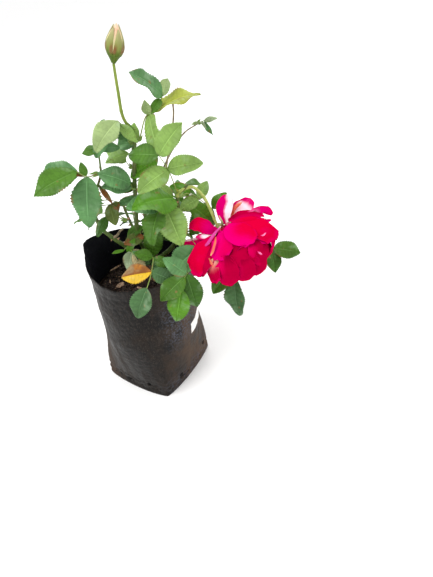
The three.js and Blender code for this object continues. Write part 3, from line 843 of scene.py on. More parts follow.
def strew(name, finish, count, sizes, knock):
    heap = Heap()
    for _ in range(count):
        x, y, z = strewn_place()
        size = [bits.uniform(low, high) for low, high in sizes]
        spin = (bits.uniform(0, FULL_TURN), bits.uniform(-0.35, 0.35))
        heap.ring_net(lump(size, spin, (x, y, z + 0.25 * size[2]), knock), [0] * LUMP_SIDES)
    heap.piece(name, [finish], "potting_mix")


dark_bark = bark_finish("damp bark", colour(30, 20, 16), colour(66, 48, 38))
tan_bark = bark_finish("dry bark", colour(98, 72, 54), colour(150, 120, 94))
strew("crumbs", dark_bark, 760, ((1.4, 5), (1.4, 5), (1.2, 4)), 0.3)
strew("bark_chips", dark_bark, 90, ((5, 13), (3, 7), (1.2, 2.6)), 0.22)
strew("dry_chips", tan_bark, 60, ((4, 15), (1.0, 2.6), (0.8, 1.6)), 0.2)

# %% [markdown]
# A few large chips lie on top by the rim, where the watering can washed the fine mix away, and one dry
# straw leans among the canes.

# %% Lay the large chips
LARGE_CHIPS = (
    # middle of the chip, sizes, turn about the vertical and tilt in degrees
    ((-32, 34), (21, 4.2, 1.4), 52, 10),
    ((-23, -2), (13, 9, 1.6), 20, -14),
    ((-16, 43), (11, 3, 1.2), 75, 8),
    ((2, -12), (9, 4, 1.4), -30, 6),
    ((-36, 8), (14, 2.4, 1.4), 100, 12),
    ((-8, 22), (12, 3, 1.6), 10, -8),
)
CHIP_LIFT = 1.8
CHIP_KNOCK = 0.16
STRAW = ((5, 46, 141), (5, 49, 152), (3, 61, 166))
pale_bark = bark_finish("sun-dried bark", colour(142, 112, 88), colour(196, 164, 138))


def lay_chips():
    heap = Heap()
    for (x, y), size, turn, tilt in LARGE_CHIPS:
        place = (x, y, ground(x, y) + CHIP_LIFT)
        chip = lump(size, (math.radians(turn), math.radians(tilt)), place, CHIP_KNOCK)
        heap.ring_net(chip, [0] * LUMP_SIDES)
    heap.tube(Line(STRAW), lambda share, angles: 0.9 - 0.4 * share + 0 * angles, 7, 12)
    heap.piece("large_chips", [pale_bark], "potting_mix")


lay_chips()

# %% [markdown]
# ## Canes
#
# A rose cane is a smooth green rod with a slightly swollen ring where each leaf was, a slow kink at
# every ring and a few hooked prickles. Old growth at the foot is brown and cracked. The rods follow the
# same points as the solids in the frame, and a function adds the swellings to the radius.

# %% The lines of the canes
CANES = {  # points, radius at the foot, radius at the tip
    "bud_cane": ([(20, 2, 176), (14, 3, 198), (15, 3, 219), (19, 3, 239), (25, 3, 273), (30, 3, 295),
                  (35, 2, 315)], 2.6, 1.9),
    "second_cane": ([(25, 7, 177), (23, 9, 200), (25, 11, 222), (33, 16, 248)], 2.3, 1.5),
    "left_cane": ([(13, 2, 171), (6, 0, 185), (-3, -2, 197), (-14, -5, 213), (-22, -6, 227), (-24, -7, 243)],
                  2.6, 1.9),
    "flower_cane": ([(33, 3, 171), (48, 5, 181), (58, 5, 195), (63, 2, 225), (66, 0, 248)], 2.8, 2.0),
    "back_cane": ([(27, 15, 171), (33, 29, 190), (39, 41, 214), (42, 48, 240)], 2.3, 1.4),
    "back_left_cane": ([(17, 13, 172), (8, 27, 190), (1, 39, 210), (-3, 45, 232)], 2.2, 1.4),
}
SNAG = ([(-13, -5, 212), (-8, -5, 214), (-3, -4, 219), (1, -4, 221)], 1.6, 1.1)
GAP = 0.3  # between a limb and what it carries
FIRST_STEP = 3
BUD_BASE = np.array([32, 2, 384])
BUD_TIP = np.array([42, 2, 413])
CALYX = np.array([106.5, -20, 215.5])
BLOOM_AXIS = unit([0.494, -0.780, -0.385])
CARRIED = {
    "left_shoot": ("left_cane", [(-20, -7, 258), (-14, -7, 272), (-5, -7, 289), (-2, -5, 306)], 1.6, 0.9),
    "bud_stalk": ("bud_cane", [(29, 2, 337), (30, 2, 360), tuple(BUD_BASE)], 1.7, 1.3),
    "flower_stalk": ("flower_cane", [(74, -2, 257), (84, -2, 258), (93, -4, 248), (99, -8, 233),
                                     tuple(CALYX - 5 * BLOOM_AXIS), tuple(CALYX)], 1.8, 1.6),
}
TWIGS = {
    "dry_twig": ("second_cane", 240, [(49, 25, 262), (68, 28, 289), (84, 30, 305), (99, 30, 312)], 1.2, 0.7),
    "dead_stub": ("back_cane", 228, [(58, 42, 268), (75, 34, 322), (77, 34, 342)], 1.3, 0.9),
}


def carried_line(carrier, points):
    """A limb that grows on from its carrier's tip."""
    tip, tangent = carrier.at(1.0), carrier.along(1.0)
    start = tip + GAP * tangent
    return Line([start, start + FIRST_STEP * tangent, *points])


limbs = {name: Line(points) for name, (points, _, _) in CANES.items()}
radii = {name: (thick, thin) for name, (_, thick, thin) in CANES.items()}
for name, (carrier, points, thick, thin) in CARRIED.items():
    limbs[name] = carried_line(limbs[carrier], points)
    radii[name] = (thick, thin)


def cane_radius(name, share):
    thick, thin = radii[name]
    return thick + (thin - thick) * share


def twig_start(carrier, height, aim):
    """Where a side twig leaves its cane, square to it."""
    share = limbs[carrier].share_at_height(height)
    point, tangent = limbs[carrier].at(share), limbs[carrier].along(share)
    outward = aim - tangent * aim.dot(tangent)
    return point, unit(outward), cane_radius(carrier, share)


for name, (carrier, height, points, thick, thin) in TWIGS.items():
    point, outward, skin = twig_start(carrier, height, unit(np.array(points[0]) - limbs[carrier].points[-1]))
    start = point + outward * (skin * 0.5)
    limbs[name] = Line([start, start + FIRST_STEP * outward, *points])
    radii[name] = (thick, thin)
print({name: round(float(line.length)) for name, line in limbs.items()})

# %% [markdown]
# ## Bark of green canes and old wood
#
# Young cane is green with a waxy bloom, fine upright streaks and reddish marks round the rings. The soft
# stalks under flower and bud are yellower. Dead wood is grey-brown with long cracks. Each is a mix of two
# tones by stretched noise, and the blade coordinate along the rod is not needed.

# %% Finishes of the canes
def cane_finish(name, green, streak, blush, rough=0.42):
    skin = Finish(name, {"Roughness": rough, "Specular IOR Level": 0.25})
    fine = skin.grain(900, 3, (1, 1, 0.12))
    patch = skin.between(skin.grain(55, 3), 0.56, 0.74)
    tone = skin.mix(skin.between(fine, 0.35, 0.7), green, streak)
    skin.feed({
        "Base Color": skin.mix(patch * 0.6, tone, blush),
        "Normal": skin.bump(fine, 0.2, 0.5),
    })
    return skin


green_cane = cane_finish("green cane", colour(70, 92, 42), colour(98, 116, 58), colour(108, 84, 56))
flower_skin = cane_finish("flower stalk", colour(160, 174, 86), colour(190, 200, 120), colour(168, 150, 84))
bud_skin = cane_finish("bud stalk", colour(104, 126, 44), colour(132, 146, 62), colour(146, 126, 60))
leaf_stalk = cane_finish("leaf stalk", colour(112, 136, 62), colour(140, 156, 82), colour(142, 106, 70))
dead_wood = bark_finish("dead wood", colour(92, 80, 62), colour(156, 140, 112))
old_bark = bark_finish("old bark", colour(78, 62, 48), colour(134, 112, 88))
prickle_horn = cane_finish("prickle horn", colour(150, 112, 84), colour(186, 150, 112), colour(128, 70, 58))

# %% [markdown]
# ## Rods, rings and prickles
#
# A rod's radius is its taper times a few narrow bumps, one at each ring. Prickles are short hooked
# horns: a tube along a bent line whose radius falls to a point. Their places come from a seeded draw, so
# they look chance but never change.

# %% Grow the canes
draws = np.random.default_rng(23)
RING_SPACING = 19
RING_SWELL = 0.16
RING_WIDTH = 0.016
PRICKLE_SPACING = 15
PRICKLE_LENGTHS = (2.2, 4.6)


def ringed_radius(name, rings):
    thick, thin = radii[name]

    def radius(share, angles):
        bump = sum(math.exp(-(((share - ring) / RING_WIDTH) ** 2)) for ring in rings)
        lean = 1 + 0.03 * np.sin(2 * angles + 9 * share)
        end = 1 - 0.35 * smoothstep(np.float64(share), 0.985, 1.0)
        return (thick + (thin - thick) * share) * (1 + RING_SWELL * bump) * lean * end
    return radius


def grow(heap, name, rings, sides=14, steps=90, finish=0):
    heap.tube(limbs[name], ringed_radius(name, rings), sides, steps, finish)


def prickle(heap, name, share, angle, length, finish):
    point, tangent = limbs[name].at(share), limbs[name].along(share)
    side = unit(np.cross(tangent, [math.cos(angle), math.sin(angle), 0.2]))
    root = point + side * cane_radius(name, share) * 0.7
    tip = root + side * length - tangent * length * 0.35
    bend = root + side * length * 0.55 - tangent * length * 0.05
    base = length * 0.32

    def radius(share, angles):
        return base * (1 - share) ** 1.15 * (1 + 0.5 * np.abs(np.cos(angles))) + 0.04
    heap.tube(Line([root, bend, tip]), radius, 8, 7, finish)


def ring_shares(name, spacing=RING_SPACING):
    count = max(int(limbs[name].length / spacing), 1)
    return [(k + 0.5 + 0.15 * draws.uniform(-1, 1)) / count for k in range(count)]


def make_canes():
    heap = Heap()
    for name in [*CANES, "left_shoot"]:
        rings = ring_shares(name)
        grow(heap, name, rings)
        for _ in range(int(limbs[name].length / PRICKLE_SPACING)):
            share, angle = draws.uniform(0.06, 0.95), draws.uniform(0, FULL_TURN)
            prickle(heap, name, share, angle, draws.uniform(*PRICKLE_LENGTHS), 1)
    limbs["snag"] = Line(SNAG[0])
    radii["snag"] = SNAG[1:]
    grow(heap, "snag", [0.5], 10, 20, 2)
    heap.piece("cane_bark", [green_cane, prickle_horn, dead_wood], "green_cane", [*CANES, "left_shoot"])
    soft = Heap()
    for finish, name in enumerate(("bud_stalk", "flower_stalk")):
        grow(soft, name, ring_shares(name, 40), 14, 70, finish)
    soft.piece("soft_stalks", [bud_skin, flower_skin], "soft_stalk", ["bud_stalk", "flower_stalk"])
    dead = Heap()
    for name in TWIGS:
        grow(dead, name, ring_shares(name, 24), 10, 50)
    dead.piece("dead_twigs", [dead_wood], "dead_wood", list(TWIGS))


make_canes()

# %% [markdown]
# ## The crown
#
# Just above the mix all canes spring from one knobbly crown. It widens to a flat foot where it meets the
# mix. A turned profile would look like a chess pawn, so the radius also swings with the angle, and an arm
# of old wood reaches from the heart of the crown to the foot of each cane.

# %% Shape the crown
CROWN_FOOT = np.array([*BUSH_FOOT, 138.0])
CROWN_PROFILE = ((0, 10.4), (3, 9.2), (7, 7.2), (14, 6.2), (24, 5.9), (31, 6.2), (33, 4.8), (34.4, 2.4))
CROWN_LEAN = (1.4, 0.8)
CROWN_ROWS = 50
CROWN_SIDES = 48
CROWN_FORK = 6  # the canes part this far under its top
CROWN_KNOB = 0.9


def crown_arm(heap, heart, cane, thick):
    """The old wood from the heart of the crown to the foot of a cane."""
    foot, tangent = cane.at(0.0), cane.along(0.0)
    line = Line([heart, foot - 3 * tangent, foot + 0.6 * tangent])

    def radius(share, angles):
        return thick * (1.32 - 0.26 * share) * (1 + 0.06 * np.cos(3 * angles + 5 * share))
    heap.tube(line, radius, 14, 20, 0)


def make_crown():
    heap = Heap()
    heights = np.linspace(0, CROWN_PROFILE[-1][0], CROWN_ROWS)
    profile = np.interp(heights, *zip(*CROWN_PROFILE))
    angles = np.linspace(0, 2 * np.pi, CROWN_SIDES, endpoint=False)
    knobs = 1 + 0.12 * np.cos(5 * angles + 0.7) + 0.07 * np.cos(9 * angles)
    radius = profile[:, None] * knobs
    lean = np.array(CROWN_LEAN) * (heights / heights[-1])[:, None]
    net = np.stack([
        CROWN_FOOT[0] + lean[:, :1] + radius * np.cos(angles),
        CROWN_FOOT[1] + lean[:, 1:] + radius * np.sin(angles),
        CROWN_FOOT[2] + heights[:, None] + 0 * radius,
    ], -1)
    net += CROWN_KNOB * noise_over(net * np.array([1, 1, 0.5]), 4, 31)[..., None] * np.array([1, 1, 0])
    heap.ring_net(net, [0] * CROWN_SIDES)
    heart = CROWN_FOOT + [*(0.8 * np.array(CROWN_LEAN)), CROWN_PROFILE[-1][0] - CROWN_FORK]
    for name in CANES:
        crown_arm(heap, heart, limbs[name], radii[name][0])
    heap.piece("crown_bark", [old_bark, green_cane], "woody_crown", ["main_stem"])


make_crown()

# %% [markdown]
# ## One leaflet
#
# A rose leaflet is an oval blade with a pointed tip and toothed sides. About eight veins leave the midrib
# on each side and sweep forward to the teeth, and the blade bulges a little between them. So the net's
# rows are bent to follow the side veins: the teeth are every second row end, and the bulges lie between
# the rows that carry a vein. A leaf cut from an image with a see-through rim would be lighter, but it
# would have no thickness and no teeth when seen from the side.

# %% Shape a leaflet
LEAF_WIDTH = 0.6  # of its length
LEAF_FOLD = 0.22
LEAF_ARCH = 0.2
LEAF_SWEEP = 0.15  # how far a side vein runs forward to its tooth
LEAF_RUFFLE = 0.046
QUILT = 0.013  # the rise between two veins
TOOTH = (-0.05, 0.06)  # the notch and the tooth, as shares of the half width
RIB_SINK = 0.006
VEINS = 8
LEAF_ROWS = 4 * VEINS + 1
ACROSS = np.array([-1, -0.8, -0.6, -0.4, -0.2, -0.035, 0, 0.035, 0.2, 0.4, 0.6, 0.8, 1])
BLADE_FINISH = [0, 0, 0, 0, 0, 1, 1, 0, 0, 0, 0, 0]  # the midrib has its own finish
HALF_AND_HALF = [1, 1, 1, 1, 1, 1, 0, 0, 0, 0, 0, 0]  # a withered leaf that is brown on one side
SHEET = 0.34
LIGHT = direction(-90, 48)
leaf_draws = np.random.default_rng(101)


def turn_about(vector, axis, degrees):
    a = math.radians(degrees)
    kept = axis * axis.dot(vector) * (1 - math.cos(a))
    return vector * math.cos(a) + np.cross(axis, vector) * math.sin(a) + kept


def leaflet_net(foot, along, turn, length, light=LIGHT, slim=1.0):
    """The blade's net and each point's place on it."""
    side = turn_about(unit(np.cross(along, light)), along, turn)
    face = np.cross(side, along)
    row = np.linspace(0, 1, LEAF_ROWS)[:, None]
    out = np.abs(ACROSS)[None]
    sweep = LEAF_SWEEP * np.sin(np.pi * row) ** 0.8
    reach = row + sweep * out**0.9 * (1 - row)
    edge_share = row + sweep * (1 - row)
    toothed = smoothstep(row, 0.06, 0.2) * (1 - smoothstep(row, 0.93, 1.0))
    tooth = np.array(TOOTH)[np.arange(LEAF_ROWS) % 2][:, None] * toothed * out**4
    belly = leaf_draws.uniform(0.8, 0.94)
    oval = np.maximum(np.sin(np.pi * edge_share**belly), 0) ** 0.66
    drawn_out = 1 - 0.12 * smoothstep(edge_share, 0.62, 0.97)
    width = 0.5 * LEAF_WIDTH * slim * length * oval * drawn_out * leaf_draws.uniform(0.98, 1.12)
    width = np.maximum(width, 0.02 * length)
    across = ACROSS[None] * width * (1 + tooth)
    vein_phase = (row * VEINS) % 1
    pillow = np.sin(np.pi * np.minimum(out * 0.96 + 0.02, 1))
    quilt = QUILT * length * np.abs(np.sin(np.pi * vein_phase)) * pillow
    fold = (LEAF_FOLD + leaf_draws.uniform(-0.12, 0.16)) * np.abs(across) ** 1.15 / length**0.15
    swing, pitch = leaf_draws.uniform(0, FULL_TURN), leaf_draws.uniform(6.5, 11)
    ruffle = LEAF_RUFFLE * length * out**2 * np.sin(pitch * row + swing + 1.9 * np.sign(ACROSS)[None])
    bow = leaf_draws.uniform(-0.03, 0.05) * length * np.sin(2 * np.pi * row) * out
    curl = leaf_draws.uniform(0.04, 0.22) * length * np.clip(row - 0.5, 0, 1) ** 2 * 2
    arch = LEAF_ARCH * length * row * (1 - row)
    height = arch + fold + quilt + ruffle + bow - curl
    rib = RIB_SINK * length * (out < 0.01)
    net = (foot + along * (reach * length)[..., None] + side * across[..., None]
           + face * (height - rib)[..., None])
    return net, places_of(ACROSS * 0.5 + 0.5, row)


sample_net, _ = leaflet_net(np.zeros(3), direction(0, 0), 0, 40)
print("a 40 mm leaflet is", round(float(np.ptp(sample_net[..., 1])), 1), "mm wide")

# %% [markdown]
# ## Leaf finishes
#
# Leaves of one bush differ in tone: old ones are blue-green, young ones yellow-green, and a few wither.
# Two tones, dark and the shaded sage, are darker copies of green tones: painted shade for the leaflets
# that lie in shadow. Each tone has three finishes. The upper side is slightly glossy, with painted shade
# along its sunken side veins and pale blue-grey patches that are painted highlights; the midrib is paler,
# and the underside is matt and light with pale veins. Veins are drawn by the blade's own coordinates,
# since the net's rows already follow them.

# %% Paint the leaves
LEAF_TONES = {
    "sage": (colour(88, 134, 80), colour(132, 160, 112)),
    # the next tone is sage darkened to three quarters: painted shade for leaflets that lie in shadow
    "shaded_sage": (colour(68, 104, 60), colour(120, 144, 104)),
    "moss": (colour(70, 112, 28), colour(116, 150, 78)),
    "bright": (colour(82, 134, 26), colour(126, 160, 76)),
    "light": (colour(130, 164, 82), colour(156, 180, 112)),
    "pale": (colour(146, 168, 110), colour(166, 184, 134)),
    "lemon": (colour(156, 166, 58), colour(176, 184, 104)),
    # the next tone is a darkened green: painted shade for leaflets that lie in shadow
    "dark": (colour(54, 94, 22), colour(104, 138, 66)),
    "chalk": (colour(152, 170, 132), colour(172, 186, 150)),
    "straw": (colour(176, 166, 122), colour(184, 170, 132)),
    "rust": (colour(88, 104, 44), colour(126, 122, 70)),
    "amber": (colour(184, 122, 46), colour(206, 150, 56)),
}
SCORCH = {"straw": (0.55, 0.7), "rust": (0.54, 0.66), "amber": (0.42, 0.6)}  # where brown patches begin


def side_veins(leaf, along, width):
    """1 on every side vein; width is the share of a half gap that its soft edge takes."""
    phase = along.maths("PINGPONG", along * VEINS, 0.5)
    return 1 - leaf.between(phase, 0.0, width)


def upper_finish(tone, paint):
    leaf = Finish(f"{tone} leaf", {"Specular IOR Level": 0.22})
    across, along = leaf.blade()
    off = abs(across * 2 - 1)
    cloud = leaf.grain(45, 4)
    fleck = leaf.grain(420, 4)
    vein = side_veins(leaf, along, 0.12)
    tone_mix = leaf.mix(leaf.between(cloud, 0.3, 0.7), shade(paint, 0.74), shade(paint, 1.14))
    tone_mix = leaf.mix(leaf.between(fleck, 0.4, 0.75) * 0.4, tone_mix, shade(paint, 0.6))
    burnt = leaf.between(leaf.grain(34, 3), 0.56, 0.66) * leaf.between(off, 0.8, 0.97)
    burnt = burnt + leaf.between(leaf.grain(130, 2), 0.68, 0.72) * 0.6
    tone_mix = leaf.mix(burnt, tone_mix, colour(128, 96, 52))
    if tone in SCORCH:
        tone_mix = leaf.mix(leaf.between(leaf.grain(60, 4), *SCORCH[tone]), tone_mix, colour(126, 76, 34))
    # pale blue-grey patches: painted highlights, the sky's light on the glossy blade
    bloom = leaf.between(leaf.grain(70, 3), 0.52, 0.7) * leaf.between(off, 0.1, 0.4)
    tone_mix = leaf.mix(bloom * 0.22, tone_mix, colour(168, 196, 160))
    # the side veins are painted darker: painted shade in the sunken veins
    leaf.feed({
        "Base Color": leaf.mix(vein * (0.12 + 0.24 * leaf.grain(40, 2)), tone_mix, shade(paint, 0.6)),
        "Roughness": 0.42 + 0.22 * cloud,
        "Normal": leaf.bump(fleck * 0.5 - vein * 0.5, 0.35, 0.8),
    })
    return leaf


def under_finish(tone, paint):
    leaf = Finish(f"{tone} underside", {"Specular IOR Level": 0.2})
    vein = side_veins(leaf, leaf.blade()[1], 0.16)
    cloud = leaf.grain(90, 4)
    felt = leaf.mix(cloud, shade(paint, 0.85), shade(paint, 1.1))
    leaf.feed({
        "Base Color": leaf.mix(vein * 0.3, felt, shade(paint, 1.3)),
        "Roughness": 0.6 + 0.2 * cloud,
        "Normal": leaf.bump(vein, 0.3, 0.6),
    })
    return leaf


def rib_finish(tone, paint):
    rib = Finish(f"{tone} midrib", {"Roughness": 0.45})
    rib.feed({"Base Color": rib.mix(rib.grain(200, 3), shade(paint, 0.95), shade(paint, 1.2))})
    return rib


def leaf_sides(tone, paint, pale):
    rib = rib_finish(tone, shade(paint, 1.26))
    return [upper_finish(tone, paint), rib, under_finish(tone, shade(pale, 0.92))]


leaf_finishes = {tone: leaf_sides(tone, *paints) for tone, paints in LEAF_TONES.items()}
leaf_finishes["amber"][1] = upper_finish("yellowed", colour(216, 176, 44))

# %% [markdown]
# ## Compound leaves
#
# A rose leaf is a stalk with a leaflet at its end and pairs along its sides. A leaf is told by the cane
# and height where it leaves, by the legs that its stalk walks (heading, rise and length) and by its
# leaflets: share of the stalk, heading, rise, length, tone and, for some, a turn about their own length.
# Blades face the light, which is why the side of a blade is worked out from the light's direction.

# %% The leaves, one by one
TIP = None
LEAVES = {
    "top_leaf": ("bud_cane", 313, [(20, 51, 27), (27, 5, 9), (16, 51, 17)], [
        (1, -158, 45, 38, "sage", 25), (1, 60, 43, 18, "pale"), (0.93, -135, -28, 17, "moss"),
        (0.72, 4, 14, 46, "lemon", -30, 0.86), (0.55, -86, 75, 15, "pale"),
        (0.58, -79, -40, 46, "light", 45, 0.85)]),
    "light_leaf": ("bud_stalk", 328, [(-137, 41, 14)], [(1, -141, -30, 36, "pale")]),
    "fan_leaf_left": ("bud_cane", 311, [(-170, 40, 8)], [(0.9, -163, 55, 22, "sage")]),
    "fan_leaf_right": ("bud_cane", 303, [(70, 60, 10)], [
        (1, 47, 74, 17, "light"), (0.7, 160, -5, 20, "sage")]),
    "middle_leaf": ("flower_cane", 248, [(-96, 61, 50), (-124, 62, 20)], [
        (1, -7, 47, 38, "light"), (1, 158, 0, 33, "moss"), (0.72, -9, 6, 35, "light"),
        (0.7, -145, -12, 38, "light")]),
    "shoot_leaf": ("left_shoot", TIP, [(22, 70, 28)], [
        (0.25, -168, 0, 17, "moss"), (0.3, 16, -12, 20, "sage"), (1, 22, 50, 8, "sage")]),
    "left_leaf": ("left_shoot", 289, [(-145, 9, 14), (-159, 42, 12)], [
        (0.55, -112, -62, 50, "sage", 0, 0.92), (0.6, 113, 65, 14, "moss"),
        (1, -158, -12, 47, "moss", 0, 0.85), (0.97, 165, -5, 40, "sage")]),
    "front_leaf": ("bud_cane", 264, [(-98, 44, 14)], [
        (1, -158, 37, 35, "sage"), (0.7, -165, 15, 30, "sage")]),
    "inner_leaf": ("bud_cane", 286, [(160, 41, 10)], [(1, 160, 30, 22, "light")]),
    "bright_leaf": ("flower_cane", 241, [(-108, 52, 11)], [(1, -134, 20, 56, "bright")]),
    "low_front_leaf": ("flower_cane", 236, [(-130, 32, 30)], [
        (1, -162, 14, 35, "sage"), (0.95, -116, -37, 44, "moss", 25), (0.7, -68, -45, 46, "light")]),
    "right_leaf": ("flower_cane", 247, [(43, -10, 18), (8, -46, 34)], [
        (0.35, 163, 25, 24, "bright"), (0.6, 43, 43, 22, "light"), (0.58, -158, -15, 25, "light"),
        (1, 17, 38, 24, "bright"), (1, -153, -33, 40, "moss")]),
    "apron_leaf": ("flower_cane", 194, [(-74, -4, 55), (-119, -1, 20), (-131, -52, 14)], [
        (0.8, 172, 48, 30, "sage"), (0.84, -155, -27, 36, "moss"), (1, -133, -64, 38, "bright"),
        (0.8, -69, -69, 40, "dark")]),
    "low_right_leaf": ("flower_cane", 191, [(-24, -32, 66), (-36, -40, 16)], [
        (0.86, -150, -40, 32, "moss"), (1, -92, -68, 50, "shaded_sage", 30, 0.8)]),
    "twig_leaf": ("dry_twig", TIP, [(10, 15, 7)], [
        (0.9, -20, 10, 15, "chalk", 20, 0.6), (0.3, -170, 0, 9, "pale", 0, 0.6),
        (0.6, -60, -40, 9, "chalk", 0, 0.6), (1, -40, -60, 17, "sage", 40, 0.55)]),
    "far_right_leaf": ("flower_cane", 200, [(2, -16, 74), (-21, -16, 41)], [
        (0.97, -81, -60, 31, "dark"), (1, -9, -14, 33, "moss")]),
    "rim_leaf": ("bud_cane", 177, [(-74, 27, 42), (-96, -6, 28), (-104, -8, 16)], [
        (0.41, 170, 20, 21, "moss"), (0.48, -23, -19, 20, "moss"), (0.73, 180, -2, 33, "amber"),
        (0.73, -21, -22, 26, "shaded_sage"), (1, -146, -55, 36, "shaded_sage")]),
    "pale_leaf": ("left_cane", 193, [(-60, 10, 10)], [
        (1, -110, -35, 24, "chalk"), (0.8, -50, -29, 24, "straw")]),
    "wilted_leaf": ("left_shoot", 257, [(-20, 0, 18)], [(1, -80, -50, 22, "rust")]),
    "low_inner_leaf": ("second_cane", 208, [(-100, 0, 14)], [(1, -168, -9, 24, "rust")]),
    "dark_inner_leaf": ("second_cane", 214, [(-20, 0, 14)], [
        (1, -99, -52, 25, "dark"), (0.9, -17, -46, 28, "dark")]),
}

# %% [markdown]
# ## Leaves of the far side
#
# Leaves at the back are drawn by rule instead of one by one. A small seeded number chain gives their
# headings and sizes. It is the same chain that shaped the solids, so each leaf lies where its solid is.

# %% The leaves at the back
FAR_SIDES = (
    # cane, heading, how many leaves, size, heights of the lowest and the highest
    ("back_cane", 68, 4, 1.0, 197, 228),
    ("back_left_cane", 138, 2, 0.95, 190, 208),
    ("flower_cane", 71, 1, 0.75, 184, 184),
)
FAR_LENGTH = 31
FAR_PAIRS = ((0.86, 58, 0.92), (0.5, 66, 0.78))
FAR_RISE = 58


def number_chain(seed):
    state = seed
    while True:
        state = (state * 1664525 + 1013904223) % 2**32
        yield state / 2**32


def far_leaves():
    """Yields each far leaf: its name, cane, height, light, legs and leaflets."""
    for cane, away, count, scale, low, high in FAR_SIDES:
        draw = number_chain(31 + count)
        for k in range(count):
            height = low if count == 1 else low + (high - low) * k / (count - 1)
            heading = away + (1 if k % 2 else -1) * (38 + 12 * next(draw))
            size = scale * FAR_LENGTH * (0.9 + 0.25 * next(draw))
            fall = -8 - 14 * next(draw)
            legs = [(heading, 30, 18 + 6 * next(draw)), (heading, 4, 18)]
            blades = [(1, heading, fall, size, "moss")]
            for share, spread, part in FAR_PAIRS:
                blades.append((share, heading + spread, fall, size * part, "sage"))
                blades.append((share - 0.06, heading - spread, fall, size * part, "moss"))
            yield f"{cane}_leaf_{k + 1}", cane, height, direction(heading, FAR_RISE), legs, blades


print("far leaves:", sum(1 for _ in far_leaves()))

# %% [markdown]
# ## Odd leaves
#
# A bush also has leaflets that no compound leaf explains: young ones that break from old eyes, and the
# last ones of leaves that have dropped the rest. Each is told by the limb it grows from, the point where
# its blade begins, its heading, rise and length, its tone and how slim it is.

# %% The odd leaves
ODD_LEAVES = (
    # limb, foot of the blade, heading, rise, length, tone, how slim
    ("left_shoot", (11, -6, 328), -166, -52, 27, "sage", 0.9),
    ("bud_cane", (24, -6, 334), -15, -49, 24, "light", 0.7),
    ("bud_cane", (33, 6, 320), -166, -25, 19, "sage", 0.9),
    ("bud_cane", (34, 0, 316), 137, 78, 16, "moss", 0.8),
    ("second_cane", (53, 10, 290), -165, -23, 35, "bright", 1.0),
    ("bud_cane", (25, 8, 300), -171, -11, 26, "light", 0.8),
    ("bud_cane", (22, 6, 262), -167, 28, 30, "moss", 0.85),
    ("bud_cane", (30, 6, 248), -166, 4, 30, "sage", 0.7),
    ("left_shoot", (5, -8, 256), -158, -48, 23, "rust", 1.0),
    ("left_shoot", (-10, -8, 278), -23, -65, 23, "rust", 0.4),
    ("left_cane", (-10, -12, 243), -149, -44, 25, "dark", 0.8),
    ("second_cane", (38, 0, 219), -143, -66, 41, "moss", 0.85),
    ("second_cane", (21, 4, 216), -169, -23, 22, "moss", 0.9),
    ("bud_cane", (24, -20, 182), -166, 52, 26, "sage", 0.9),
    ("bud_cane", (24, -20, 182), -17, -24, 22, "sage", 0.9),
    ("left_cane", (-3, -12, 198), -163, 4, 14, "bright", 0.5),
    ("left_cane", (0, -10, 192), 0, 58, 21, "bright", 0.65),
    ("left_shoot", (-22, -10, 290), -168, 35, 15, "rust", 0.5),
    ("left_shoot", (-27, -4, 290), -173, 15, 34, "sage", 0.85),
    ("flower_cane", (78, 10, 231), -9, -47, 38, "bright", 0.95),
    ("flower_cane", (60, 4, 245), 168, 62, 21, "light", 0.8),
    ("flower_cane", (80, -43, 209), -160, -32, 40, "sage", 1.15),
    ("left_cane", (8, -25, 199), -30, -61, 23, "straw", 0.9),
    ("flower_stalk", (72, -3, 255), 5, 42, 11, "rust", 0.5),
    ("flower_stalk", (71, -3, 253), 150, 30, 8, "lemon", 0.5),
)
print("odd leaves:", len(ODD_LEAVES))

# %% [markdown]
# ## Growing the leaves
#
# The stalk leaves its cane square to it, walks its legs and carries the leaflets. Every tone gets a heap
# of its own, so a tone is one piece with plain finishes. Stalks with their stipules, the small green
# wings at the foot of each rose leaf, are one more piece.

# %% Grow all leaves
LEAF_STALK_RADIUS = 0.75
AXIL_STEP = 2.15


def stalk_line(cane, height, legs):
    line = limbs[cane]
    share = 1.0 if height is TIP else line.share_at_height(height)
    point, tangent = line.at(share), line.along(share)
    aim = direction(*legs[0][:2])
    outward = tangent if share >= 1.0 else unit(aim - tangent * aim.dot(tangent))
    skin = 0 if share >= 1.0 else cane_radius(cane, share)
    start = point + outward * (skin + GAP)
    points, end = [start - outward * 0.8, start + outward * AXIL_STEP], point.copy()
    for heading, rise, length in legs:
        end = end + direction(heading, rise) * length
        points.append(end.copy())
    return Line(points)


def stalk_radius(share, angles):
    foot = 1 + 0.9 * math.exp(-((share / 0.05) ** 2))
    return LEAF_STALK_RADIUS * (1 - 0.4 * share) * foot * (1 + 0.1 * np.cos(2 * angles))


STIPULE_NET = (5, 9)  # columns and rows
STIPULE_LENGTH = 11


def stipule(heap, line, sign):
    """A narrow wing along the foot of a leaf stalk, with a free tip."""
    columns, rows = STIPULE_NET
    shares = np.linspace(0.02, min(STIPULE_LENGTH / line.length, 0.6), rows)
    middle = line.at(shares)
    tangent = line.along(0.1)
    side = unit(np.cross(tangent, LIGHT)) * sign
    width = 2.3 * np.sin(np.pi * np.linspace(0.12, 1, rows) ** 0.8) + 0.15
    free = 2.4 * np.linspace(0, 1, rows) ** 4
    out = np.linspace(0, 1, columns)[None, :, None]
    net = middle[:, None] + side * (0.4 + free[:, None, None] + width[:, None, None] * out)
    net = net + unit(LIGHT) * (0.9 * out**2 + 0.2)
    places = places_of(np.linspace(0, 1, columns), np.linspace(0, 1, rows))
    heap.sheet(net if sign > 0 else net[:, ::-1], 0.3, [1] * (columns - 1), 1, places)


tone_heaps = {tone: Heap() for tone in LEAF_TONES}
stalk_heap = Heap()
leaf_names = []


